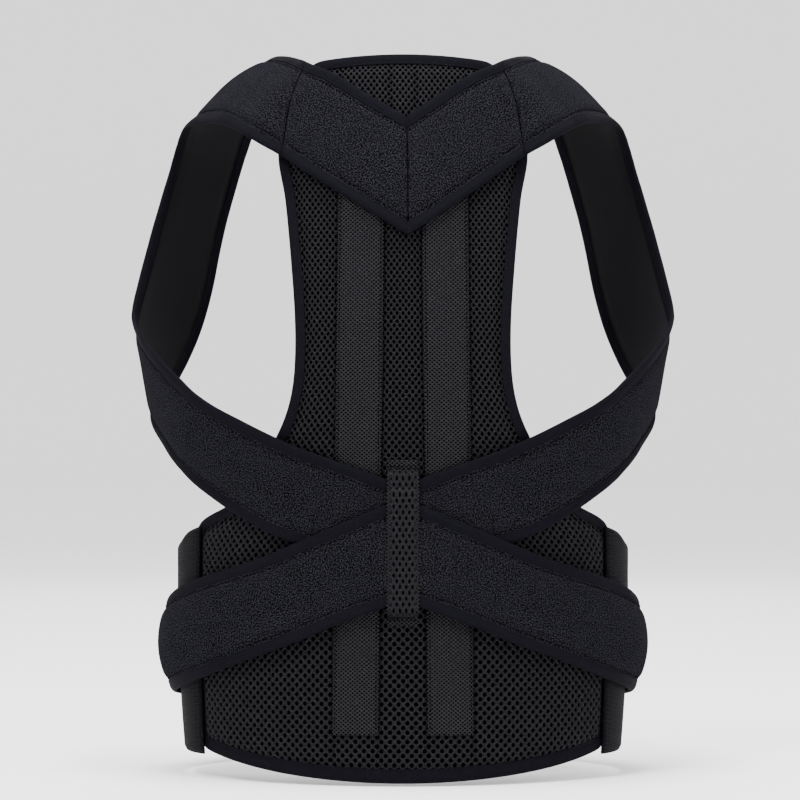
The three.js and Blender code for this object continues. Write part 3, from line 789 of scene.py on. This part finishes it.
def make_shoulders():
    """The yoke's two halves, the shoulder straps from its seams, and their tapes."""
    paths = [
        Course(SHOULDER, side, -STRAP_THICKNESS, YOKE_LAYER, YOKE_SEAM_SHIFT, SOFTENING)
        for _, side in SIDES
    ]
    for (name, side), path in zip(SIDES, paths):
        seam = YOKE_END * path.length
        s, slants = stations(0, seam - SEAM_GAP, STRAP_STEP, path.slant(0), YOKE_SEAM_SLANT)
        rings, uv, inner = strap_cloth(path, s, slants)
        plane = YOKE_SEAM_SHIFT + side * SEAM_GAP / 2
        piece = loft(
            f"yoke_cloth_{name}", clamp_side(rings, side, plane), uv, [BRUSHED, LINING], inner
        )
        put(piece, "brushed_loop", f"yoke_{name}")
        s, slants = stations(
            seam + SEAM_GAP, path.length, STRAP_STEP, YOKE_SEAM_SLANT, path.slant(path.length)
        )
        rings, uv, inner = strap_cloth(path, s, slants)
        plane = side * SEAM_GAP / 2
        piece = loft(
            f"shoulder_cloth_{name}", clamp_side(rings, side, plane), uv, [BRUSHED, LINING], inner
        )
        put(piece, "brushed_loop", f"shoulder_strap_{name}")
        for edge, kind in ((1, "arm"), (-1, "neck")):
            rings, uv = tape_rings(path, s, slants, edge)
            node = f"strap_{kind}_tape_{name}"
            piece = loft(f"{kind}_binding_{name}", clamp_side(rings, side, plane), uv, [TAPE])
            put(piece, "edge_tape", node)
            tape_stitches(f"{kind}_stitches_{name}", path, s, slants, edge, node)
        # The seam at the spine is one row, on the right half.
        if side > 0:
            slant = path.slant(0)
            cross_seam(f"yoke_spine_seam_{name}", path, SPINE_SEAM_AT, slant, f"yoke_{name}")
        cross_seam(f"yoke_shoulder_seam_{name}", path, seam, YOKE_SEAM_SLANT, f"yoke_{name}")
    for node, edge in (("yoke_bottom_tape", 1), ("yoke_top_tape", -1)):
        runs, places = [], []
        for (name, side), path in zip(SIDES, paths):
            seam = YOKE_END * path.length
            s, slants = stations(0, seam, TAPE_STEP, path.slant(0), YOKE_SEAM_SLANT)
            rings, uv = tape_rings(path, s, slants, edge)
            clamp_side(rings, side, YOKE_SEAM_SHIFT)
            rings[0, :, 0] = YOKE_SEAM_SHIFT
            runs.append(rings)
            places.append(uv)
            tape_stitches(f"{node}_stitches_{name}", path, s, slants, edge, node)
        rings = np.concatenate([runs[0][:0:-1], runs[1]])
        uv = np.concatenate([places[0][:0:-1] * (-1, 1), places[1]])
        put(loft(f"{node}_binding", rings, uv, [TAPE]), "edge_tape", node)


# The waist straps and the hook tabs under their front ends.


def make_waist():
    """The waist straps, their tapes and their hook tabs."""
    for name, side in SIDES:
        path = Course(WAIST, side, OVER_BELT, WAIST_LAYER)
        plane = side * SEAM_GAP / 2
        s, slants = stations(0, path.length, STRAP_STEP, path.slant(0), 0)
        rings, uv, inner = strap_cloth(path, s, slants)
        piece = loft(
            f"waist_cloth_{name}", clamp_side(rings, side, plane), uv, [BRUSHED, LINING], inner
        )
        put(piece, "brushed_loop", f"waist_strap_{name}")
        for edge, kind in ((1, "bottom"), (-1, "top")):
            rings, uv = tape_rings(path, s, slants, edge)
            node = f"waist_{kind}_tape_{name}"
            piece = loft(
                f"waist_{kind}_binding_{name}", clamp_side(rings, side, plane), uv, [TAPE]
            )
            put(piece, "edge_tape", node)
            tape_stitches(f"waist_{kind}_stitches_{name}", path, s, slants, edge, node)
        start, stop = path.length - STRAP_HOOK_LENGTH, path.length + STRAP_HOOK_BEYOND
        s = np.linspace(start, stop, 30)[:, None]
        v = np.linspace(-1, 1, 21)[None, :] * STRAP_HOOK_WIDTH / 2
        top = path.place(s, v, -LAYER_GAP / 2)
        foot = path.place(s, v, -LAYER_GAP / 2 - HOOK_THICKNESS)
        rings, uv = both_faces(top, foot, s, v)
        put(loft(f"hook_tab_{name}", rings, uv, [HOOK]), "hook_tape", f"strap_hook_{name}")


# The back panel.


def panel_half(spine):
    """The panel's half width, by how far down the spine the row starts."""
    flared = PANEL_WAIST_HALF_WIDTH - PANEL_BLADE_HALF_WIDTH
    blade = PANEL_BLADE_HALF_WIDTH * column(PANEL, "spine", spine, "blade")
    return blade + flared * column(PANEL, "spine", spine, "flare")


def panel_level(spine, share):
    """The level across the panel, which bends from the spine to its edge."""
    return -BACK_LENGTH * lerp(spine, column(PANEL, "spine", spine, "edge"), share**2)


def panel_outline(step=2.5, rounding=5):
    """The panel's edge as even steps along (distance from the spine, level), corners rounded."""
    top, foot = PANEL["spine"][0], PANEL["spine"][-1]
    share = np.linspace(-1, 1, 81)
    spine = np.linspace(top, foot, 241)
    runs = [
        (share * panel_half(top), panel_level(top, share)),
        (panel_half(spine), panel_level(spine, 1.0)),
        (-share * panel_half(foot), panel_level(foot, share)),
        (-panel_half(spine)[::-1], panel_level(spine, 1.0)[::-1]),
    ]
    line = np.concatenate([np.stack(run, -1)[:-1] for run in runs])
    closed = np.concatenate([line, line[:1]])
    length = np.concatenate([[0], np.cumsum(np.linalg.norm(np.diff(closed, axis=0), axis=1))])
    count = round(length[-1] / step)
    at = np.arange(count) * length[-1] / count
    even = np.stack([np.interp(at, length, closed[:, k]) for k in range(2)], -1)
    for _ in range(rounding):
        even = (np.roll(even, 1, axis=0) + 2 * even + np.roll(even, -1, axis=0)) / 4
    return even


OUTLINE = panel_outline()


def edge_distance(s, z):
    """Distance from the panel's edge, positive inside it."""
    shape = np.broadcast(s, z).shape
    p = np.stack(np.broadcast_arrays(s, z), -1).reshape(-1, 2)
    nearest = np.full(len(p), 1e9)
    inside = np.zeros(len(p), bool)
    for a, b in zip(OUTLINE, np.roll(OUTLINE, -1, axis=0)):
        run = b - a
        t = np.clip(((p - a) @ run) / (run @ run), 0, 1)
        nearest = np.minimum(nearest, np.linalg.norm(p - a - t[:, None] * run, axis=1))
        crosses = (a[1] > p[:, 1]) != (b[1] > p[:, 1])
        rise = b[1] - a[1] if abs(b[1] - a[1]) > 1e-9 else 1e-9
        inside ^= crosses & (p[:, 0] < a[0] + run[0] * (p[:, 1] - a[1]) / rise)
    return np.where(inside, nearest, -nearest).reshape(shape)


def pocket_middle(z):
    """Distance from the spine of a pocket's middle line."""
    share = (-z / BACK_LENGTH - POCKET_TOP) / (POCKET_FOOT - POCKET_TOP)
    return lerp(POCKET_TOP_SPACING, POCKET_FOOT_SPACING, np.clip(share, 0, 1)) / 2


def seam_lines(z):
    """Distances from the spine of the inner and the outer channel seam."""
    narrowed = 3.5 * (1 - smoothstep(-z, 50, 90))
    middle = pocket_middle(z)
    return middle - POCKET_WIDTH / 2 - narrowed, middle + POCKET_WIDTH / 2


def panel_top(s, z):
    """Height of the panel's outer face, with a groove along each seam of the stay pockets."""
    full = swell(edge_distance(s, z))
    near, far = seam_lines(z)
    from_seam = np.minimum(np.abs(np.abs(s) - near), np.abs(np.abs(s) - far))
    groove = sum(depth * np.exp(-((from_seam / width) ** 2)) for depth, width in SEAM_GROOVES)
    return lerp(EDGE_FOOT + CLOTH_EDGE, PANEL_THICKNESS + PANEL_PUFF - groove, full)


def panel_inner(s, z):
    """Height of the panel's inner face."""
    return lerp(EDGE_FOOT, 0, swell(edge_distance(s, z)))


def make_panel_backing():
    """The padding and the lining under the open mesh. Its outer face, at the bottom of the holes, is
    near-black as painted shade.
    """
    spine = np.linspace(PANEL["spine"][0] + 0.004, PANEL["spine"][-1] - 0.004, 120)[:, None]
    share = np.linspace(-0.985, 0.985, 81)[None, :]
    s = share * panel_half(spine)
    z = panel_level(spine, share)
    inner = panel_inner(s, z)
    outer = np.maximum(inner + 0.5, panel_top(s, z) - BACKING_DEPTH)
    rings, uv = both_faces(cloth_point(s, z, outer), cloth_point(s, z, inner), s, z)
    piece = loft("panel_backing", rings, uv, [SHADED_BACKING, LINING], inner_from=share.shape[1])
    put(piece, "spacer_mesh", "back_panel")


# Open mesh: staggered holes with rounded strands between them.

CELL_RING = [(3, 0), (2, 1), (1, 2), (0, 3), (-1, 2), (-2, 1)]
CELL_RING = np.array(CELL_RING + [(-x, -y) for x, y in CELL_RING])


def staggered(reach, rows):
    """The holes of a mesh as (half column, row) pairs, every other one in each row."""
    q, j = np.meshgrid(np.arange(-reach, reach + 1), rows, indexing="ij")
    pairs = np.stack([q.ravel(), j.ravel()], -1)
    return pairs[(pairs.sum(axis=1) % 2) == 0]


def open_mesh(name, cells, spread, place, depth, hole):
    """Cells are (half column, row) pairs of holes. Spread turns such pairs into places on the
    cloth, and place turns those, with a height over its face, into points."""
    corners = (3 * cells[:, None, :] + CELL_RING[None]).reshape(-1, 2)
    shared, found = np.unique(corners, axis=0, return_inverse=True)
    found = found.reshape(len(cells), 12)
    # A cell's ring is a diamond. The hole's points lie between its angles and even ones.
    ring_angle = np.arctan2(CELL_RING[:, 1], CELL_RING[:, 0])
    angle = lerp(np.arange(12) * math.pi / 6, np.unwrap(ring_angle), 0.5)
    round_hole = hole * np.stack([np.cos(angle), np.sin(angle)], -1)
    rims = (cells[:, None, :] + round_hole[None]).reshape(-1, 2)
    pits = (cells[:, None, :] + 1.02 * round_hole[None]).reshape(-1, 2)
    on_cloth = [spread(points) for points in (shared / 3, rims, pits)]
    levels = [0.0, -0.28, -depth]
    points = np.concatenate(
        [place(xy[:, 0], xy[:, 1], level) for xy, level in zip(on_cloth, levels)]
    )
    uv = np.concatenate(on_cloth)
    rim = len(shared) + np.arange(len(cells) * 12).reshape(-1, 12)
    pit = rim + len(cells) * 12
    quads = []
    for high, low in ((found, rim), (rim, pit)):
        beside = [np.roll(ids, -1, axis=1) for ids in (high, low)]
        quads.append(np.stack([high, beside[0], beside[1], low], -1).reshape(-1, 4))
    crown = quads[0]
    a, b, c = (points[crown[:, k]] for k in range(3))
    facing = np.cross(b - a, c - a)
    away = points[crown[:, 0]] * (1, 1, 0)
    quads = np.concatenate(quads)
    if np.sum(facing * away) < 0:
        quads = quads[:, ::-1]
    return build(name, points, quads.tolist(), uv, [STRAND])


MESH_PITCH = 5.6
MESH_ROW = 3.07
MESH_TOP_SHARE = 0.68
MESH_TOP_ROW_SHARE = 0.86
MESH_SLACK = (150, 380)
MESH_MIDDLE_HALF_WIDTH = 20
MESH_TAPE_COVER = 2.2
MESH_POCKET_COVER = 2.5


def mesh_rows():
    """Levels of the rows of holes, closer together towards the top where the cloth is slack."""
    levels = [12.0]
    while levels[-1] > -490:
        share = lerp(MESH_TOP_ROW_SHARE, 1.0, smoothstep(-levels[-1], *MESH_SLACK))
        levels.append(levels[-1] - MESH_ROW * share)
    return np.array(levels)


def make_panel_mesh():
    """The open mesh in three parts, left out where the pockets cover it."""
    levels = mesh_rows()
    rows = np.arange(len(levels))
    widths = lerp(MESH_TOP_SHARE, 1.0, smoothstep(-levels, *MESH_SLACK))

    def spread(pairs):
        z = np.interp(pairs[:, 1], rows, levels)
        s = pairs[:, 0] * MESH_PITCH / 2 * np.interp(pairs[:, 1], rows, widths)
        return np.stack([s, z], -1)

    def place(s, z, level):
        return cloth_point(s, z, panel_top(s, z) + level)

    reach = int(PANEL_WAIST_HALF_WIDTH / (MESH_PITCH / 2 * MESH_TOP_SHARE)) + 2
    pairs = staggered(reach, rows[1:-1])
    at = spread(pairs)
    shown = edge_distance(at[:, 0], at[:, 1]) > MESH_TAPE_COVER
    aside = np.abs(at[:, 0]) - pocket_middle(at[:, 1])
    below = at[:, 1] < -BACK_LENGTH * (POCKET_FOOT - 0.01)
    above = at[:, 1] > -BACK_LENGTH * (POCKET_TOP + 0.01)
    shown &= (np.abs(aside) > POCKET_WIDTH / 2 - MESH_POCKET_COVER) | below | above
    parts = {
        "mesh_left": at[:, 0] < -MESH_MIDDLE_HALF_WIDTH,
        "mesh_middle": np.abs(at[:, 0]) <= MESH_MIDDLE_HALF_WIDTH,
        "mesh_right": at[:, 0] > MESH_MIDDLE_HALF_WIDTH,
    }
    for name, part in parts.items():
        piece = open_mesh(name, pairs[shown & part], spread, place, depth=1.5, hole=0.5)
        put(piece, "spacer_mesh", "back_panel")


def make_panel_tape():
    """The edge tape round the whole panel, deeper along its foot."""
    line = OUTLINE
    run = unit(np.roll(line, -1, axis=0) - np.roll(line, 1, axis=0))
    for _ in range(4):
        run = unit(np.roll(run, 1, axis=0) + 2 * run + np.roll(run, -1, axis=0))
    inwards = np.stack([run[:, 1], -run[:, 0]], -1)
    middle = line.mean(axis=0)
    if np.sum(inwards * (middle - line)) < 0:
        inwards = -inwards
    u, h = TAPE_SECTION[:, 0], TAPE_SECTION[:, 1]
    deeper = lerp(1.0, FOOT_TAPE_SHARE, smoothstep(-line[:, 1], *FOOT_TAPE_LEVELS))[:, None]
    u = np.where(u > 0, u[None, :] * deeper, u[None, :])
    at = line[:, None, :] + inwards[:, None, :] * u[:, :, None]
    rings = cloth_point(at[..., 0], at[..., 1], h[None, :])
    steps = np.linalg.norm(np.roll(line, -1, axis=0) - line, axis=1)
    length = np.cumsum(steps)
    girth = np.concatenate([[0], np.cumsum(np.linalg.norm(np.diff(TAPE_SECTION, axis=0), axis=1))])
    uv = np.stack(np.broadcast_arrays(length[:, None], girth[None, :]), -1)
    put(loft("panel_binding", rings, uv, [TAPE], closed=True), "edge_tape", "panel_tape")

    def place(moved, dv, dh):
        x, z, ux, uz, wide = (
            np.interp(moved, length, values)
            for values in (line[:, 0], line[:, 1], inwards[:, 0], inwards[:, 1], deeper[:, 0])
        )
        inset = STITCH_INSET * wide + dv
        return cloth_point(x + ux * inset, z + uz * inset, EDGE_FOOT + CLOTH_EDGE + 0.25 + dh)

    lengths = np.arange(length[0] + 4, length[-1] - 4, STITCH_STEP)
    stitches("panel_stitches", place, lengths, ["panel_tape"], "edge_tape")


# The stay pockets.


def make_pockets():
    """The finer-woven channels of the two stays."""
    z = -BACK_LENGTH * np.linspace(POCKET_TOP, POCKET_FOOT, 180)[:, None]
    share = np.linspace(-1, 1, 25)[None, :]
    across = share * POCKET_WIDTH / 2
    lip = smoothstep(1 - np.abs(share), 0, 0.2)
    ends = smoothstep(np.minimum(z - z.min(), z.max() - z), 0, 3)
    # The pockets lie flat where the yoke covers them.
    swollen = POCKET_PUFF * np.cos(share * math.pi / 2) * smoothstep(-z, *YOKE_COVER)
    top = POCKET_LAYER + lerp(0.0, POCKET_THICKNESS, lip * lerp(0.4, 1, ends)) + swollen * lip
    foot = POCKET_LAYER - 0.5 + 0 * top
    for name, side in SIDES:
        s = side * pocket_middle(z) + across
        rings, uv = both_faces(cloth_point(s, z, top), cloth_point(s, z, foot), s, z)
        piece = loft(f"pocket_cloth_{name}", rings, uv, [POCKET])
        put(piece, "pocket_mesh", f"stay_pocket_{name}")
        for edge in (-1, 1):

            def place(moved, dv, dh, edge=edge, side=side):
                level = -moved
                at = side * pocket_middle(level) + edge * (POCKET_WIDTH / 2 - POCKET_SEAM_INSET) + dv
                return cloth_point(at, level, POCKET_LAYER + POCKET_THICKNESS - 0.25 + dh)

            lengths = np.arange(-z.max() + 4, -z.min() - 4, STITCH_STEP)
            label = "outer" if edge * side > 0 else "inner"
            node = f"stay_pocket_{name}"
            stitches(f"pocket_{label}_stitches_{name}", place, lengths, [node], "pocket_mesh")


# The keeper loop.


def make_keeper():
    """The mesh loop over the crossing, sewn down at both ends."""
    rows = {"at": np.arange(len(KEEPER["down"]), dtype=float), **KEEPER}
    at = np.linspace(0, len(KEEPER["down"]) - 1, 120)
    height = lerp(POCKET_LAYER, KEEPER_LAYER, np.interp(at, rows["at"], rows["rise"]))
    level = -BACK_LENGTH * np.interp(at, rows["at"], rows["down"])
    for _ in range(3):
        height[1:-1] = (height[:-2] + 2 * height[1:-1] + height[2:]) / 4
        level[1:-1] = (level[:-2] + 2 * level[1:-1] + level[2:]) / 4
    step = unit(np.stack([np.gradient(level), np.gradient(height)], -1))
    lift = np.stack([step[:, 1], -step[:, 0]], -1)
    length = np.concatenate([[0], np.cumsum(np.hypot(np.diff(level), np.diff(height)))])
    share = np.linspace(-1, 1, KEEPER_PLACES)

    def point(s, along, raised):
        z = np.interp(along, length, level)
        h = np.interp(along, length, height)
        lz = np.interp(along, length, lift[:, 0])
        lh = np.interp(along, length, lift[:, 1])
        return cloth_point(s, z + lz * raised, h + lh * raised)

    v = (share * KEEPER_WIDTH / 2)[None, :]
    rolled = np.sqrt(np.clip(1 - np.abs(share) ** 6, 0, 1))[None, :]
    from_end = np.minimum(length, length[-1] - length)[:, None]
    solid = 1 - smoothstep(from_end, 5.5, 6.5)
    top = 0.3 + (KEEPER_THICKNESS - 1.0 + 0.75 * solid) * rolled
    down = length[:, None]
    rings, uv = both_faces(point(v, down, top), point(v, down, 0 * top), v, down)
    # The open part's near-black backing is painted shade under the loop's holes.
    piece = loft("keeper_backing", rings, uv, [SHADED_BACKING, POCKET])
    # The loop's edges and sewn ends are of the pockets' closer cloth.
    along_edge = np.isin(np.arange(rings.shape[1]), KEEPER_EDGE_PLACES)
    solid_rings = ((solid[:-1] > 0.5) | along_edge[None, :]).ravel()
    kinds = np.concatenate([solid_rings, [True, True]]).astype(np.int32)
    piece.data.polygons.foreach_set("material_index", kinds)
    put(piece, "pocket_mesh", "keeper_loop")

    def spread(pairs):
        return np.stack([pairs[:, 0] * KEEPER_PITCH, pairs[:, 1] * KEEPER_ROW], -1)

    def place(s, along, raised):
        edge = np.clip(np.abs(s) / (KEEPER_WIDTH / 2), 0, 1)
        face = KEEPER_THICKNESS * np.sqrt(np.clip(1 - 0.5 * edge**6, 0, 1))
        return point(s, along, face + raised)

    pairs = staggered(KEEPER_COLUMNS // 2, np.arange(2, int(length[-1] / KEEPER_ROW) - 1))
    piece = open_mesh("keeper_mesh", pairs, spread, place, depth=0.9, hole=0.38)
    put(piece, "pocket_mesh", "keeper_loop")
    for label, row in (("upper", KEEPER_SEAM_INSET), ("lower", length[-1] - KEEPER_SEAM_INSET)):

        def across(moved, dv, dh, row=row):
            return point(moved, row + dv + 0 * moved, KEEPER_THICKNESS + 0.1 + dh)

        lengths = np.arange(-KEEPER_WIDTH / 2 + 2, KEEPER_WIDTH / 2 - 1, 2.6)
        stitches(f"keeper_{label}_stitches", across, lengths, ["keeper_loop"], "pocket_mesh")


# The elastic belt.

BELT_LEVEL = -BACK_LENGTH * 0.82
BELT_MIDDLE = half_girth(BELT_LEVEL)
BELT_SEAM = PANEL_WAIST_HALF_WIDTH - BELT_SEAM_INSET


def belt_edges(s):
    """Levels of a wing's top and foot."""
    share = (s - BELT_SEAM) / (BELT_MIDDLE - BELT_SEAM)
    return (-BACK_LENGTH * column(BELT, "round", share, edge) for edge in ("top", "foot"))


def belt_height(s, side):
    """Height of a wing over the body. The left one laps over the right."""
    lapped = BELT_MIDDLE - BELT_OVERLAP / 2
    over = 1.0 if side < 0 else 0.0
    lift = over * smoothstep(s, lapped - 21, lapped - 3)
    return BELT_LAYER + lift * (BELT_THICKNESS + HOOK_THICKNESS + 2 * LAYER_GAP)


def make_belt():
    """The elastic wings and the hook patch between them."""
    for name, side in SIDES:
        end = BELT_MIDDLE + BELT_OVERLAP / 2
        s = np.linspace(BELT_SEAM, end, 110)[:, None]
        top, foot = belt_edges(s)
        share = np.linspace(0, 1, 61)[None, :]
        z = lerp(top, foot, share)
        base = belt_height(s, side)
        rim = np.minimum(z - foot, top - z)
        thick = BELT_THICKNESS * lerp(0.55, 1, smoothstep(rim, 0, 2.0))
        outer = cloth_point(side * s, z, base + thick)
        rings, uv = both_faces(outer, cloth_point(side * s, z, base), s, z)
        piece = loft(f"wing_cloth_{name}", rings, uv, [ELASTIC])
        put(piece, "elastic", f"belt_wing_{name}")
        for label, inset in WING_SEAMS:

            def place(moved, dv, dh, inset=inset, side=side):
                at = BELT_SEAM + inset + dv
                return cloth_point(side * at, -moved, BELT_LAYER + BELT_THICKNESS + dh)

            first, last = (float(edge) for edge in belt_edges(np.array(BELT_SEAM + inset)))
            lengths = np.arange(-first + 3, -last - 3, STITCH_STEP)
            node = f"belt_wing_{name}"
            stitches(f"wing_{label}_stitches_{name}", place, lengths, [node], "elastic")
    s = BELT_MIDDLE + np.linspace(-0.5, 0.5, 30)[:, None] * BELT_HOOK_WIDTH
    z = BELT_LEVEL + np.linspace(0.5, -0.5, 41)[None, :] * BELT_HOOK_HEIGHT
    outer = cloth_point(s, z, HOOK_LAYER + HOOK_THICKNESS)
    rings, uv = both_faces(outer, cloth_point(s, z, HOOK_LAYER), s, z)
    put(loft("hook_patch", rings, uv, [HOOK]), "hook_tape", "belt_hook")


# The room: a pale bowl of a floor, soft lamps and the photo's camera.


def make_floor():
    """A round floor that curves up into walls."""
    turns = np.linspace(0, 2 * math.pi, 97)[:-1]
    profile = [(0.0, 0.0), (3.0, 0.0), (4.2, 0.1), (5.2, 0.5), (5.8, 1.2), (6.0, 2.2), (6.0, 4.5)]
    points = [(0, 0, FLOOR_LEVEL)]
    for radius, height in profile[1:]:
        points += [(radius * math.cos(t), radius * math.sin(t), height + FLOOR_LEVEL) for t in turns]
    count = len(turns)
    faces = [(0, 1 + i, 1 + (i + 1) % count) for i in range(count)]
    for row in range(len(profile) - 2):
        low, high = 1 + row * count, 1 + (row + 1) * count
        for i in range(count):
            j = (i + 1) % count
            faces.append((low + i, high + i, high + j, low + j))
    mesh = bpy.data.meshes.new("floor")
    mesh.from_pydata(points, [], faces)
    mesh.polygons.foreach_set("use_smooth", np.ones(len(faces), bool))
    mesh.materials.append(floor_paint())
    floor = bpy.data.objects.new("floor", mesh)
    bpy.context.scene.collection.objects.link(floor)


def lamp(name, place, target, size, watts):
    """A round soft lamp that faces the target."""
    data = bpy.data.lights.new(name, "AREA")
    data.shape, data.size, data.energy = "DISK", size, watts
    light = bpy.data.objects.new(name, data)
    light.location = place
    aim = np.array(target) - np.array(place)
    light.rotation_euler = Vector(aim).to_track_quat("-Z", "Y").to_euler()
    bpy.context.scene.collection.objects.link(light)


def make_light():
    world = bpy.data.worlds.new("studio")
    bpy.context.scene.world = world
    world.use_nodes = True
    sky = world.node_tree.nodes["Background"]
    sky.inputs["Color"].default_value = (1, 1, 1, 1)
    sky.inputs["Strength"].default_value = 1.15
    middle = (0, 0, -0.2)
    lamp("key", (-1.0, -1.8, 2.2), middle, 1.2, 105)
    lamp("fill", (1.4, -2.0, 1.2), middle, 1.6, 35)
    lamp("top", (0.0, -0.3, 2.4), middle, 1.2, 140)
    lamp("rear", (0.0, 2.4, 1.2), middle, 1.8, 30)


def make_camera():
    data = bpy.data.cameras.new("camera")
    data.lens, data.sensor_width = CAMERA_LENS, 36.0
    camera = bpy.data.objects.new("camera", data)
    camera.location = CAMERA_PLACE
    camera.rotation_euler = (math.radians(90), 0, 0)
    bpy.context.scene.collection.objects.link(camera)
    bpy.context.scene.camera = camera


make_shoulders()
make_waist()
make_panel_backing()
make_panel_mesh()
make_panel_tape()
make_pockets()
make_keeper()
make_belt()
make_floor()
make_light()
make_camera()
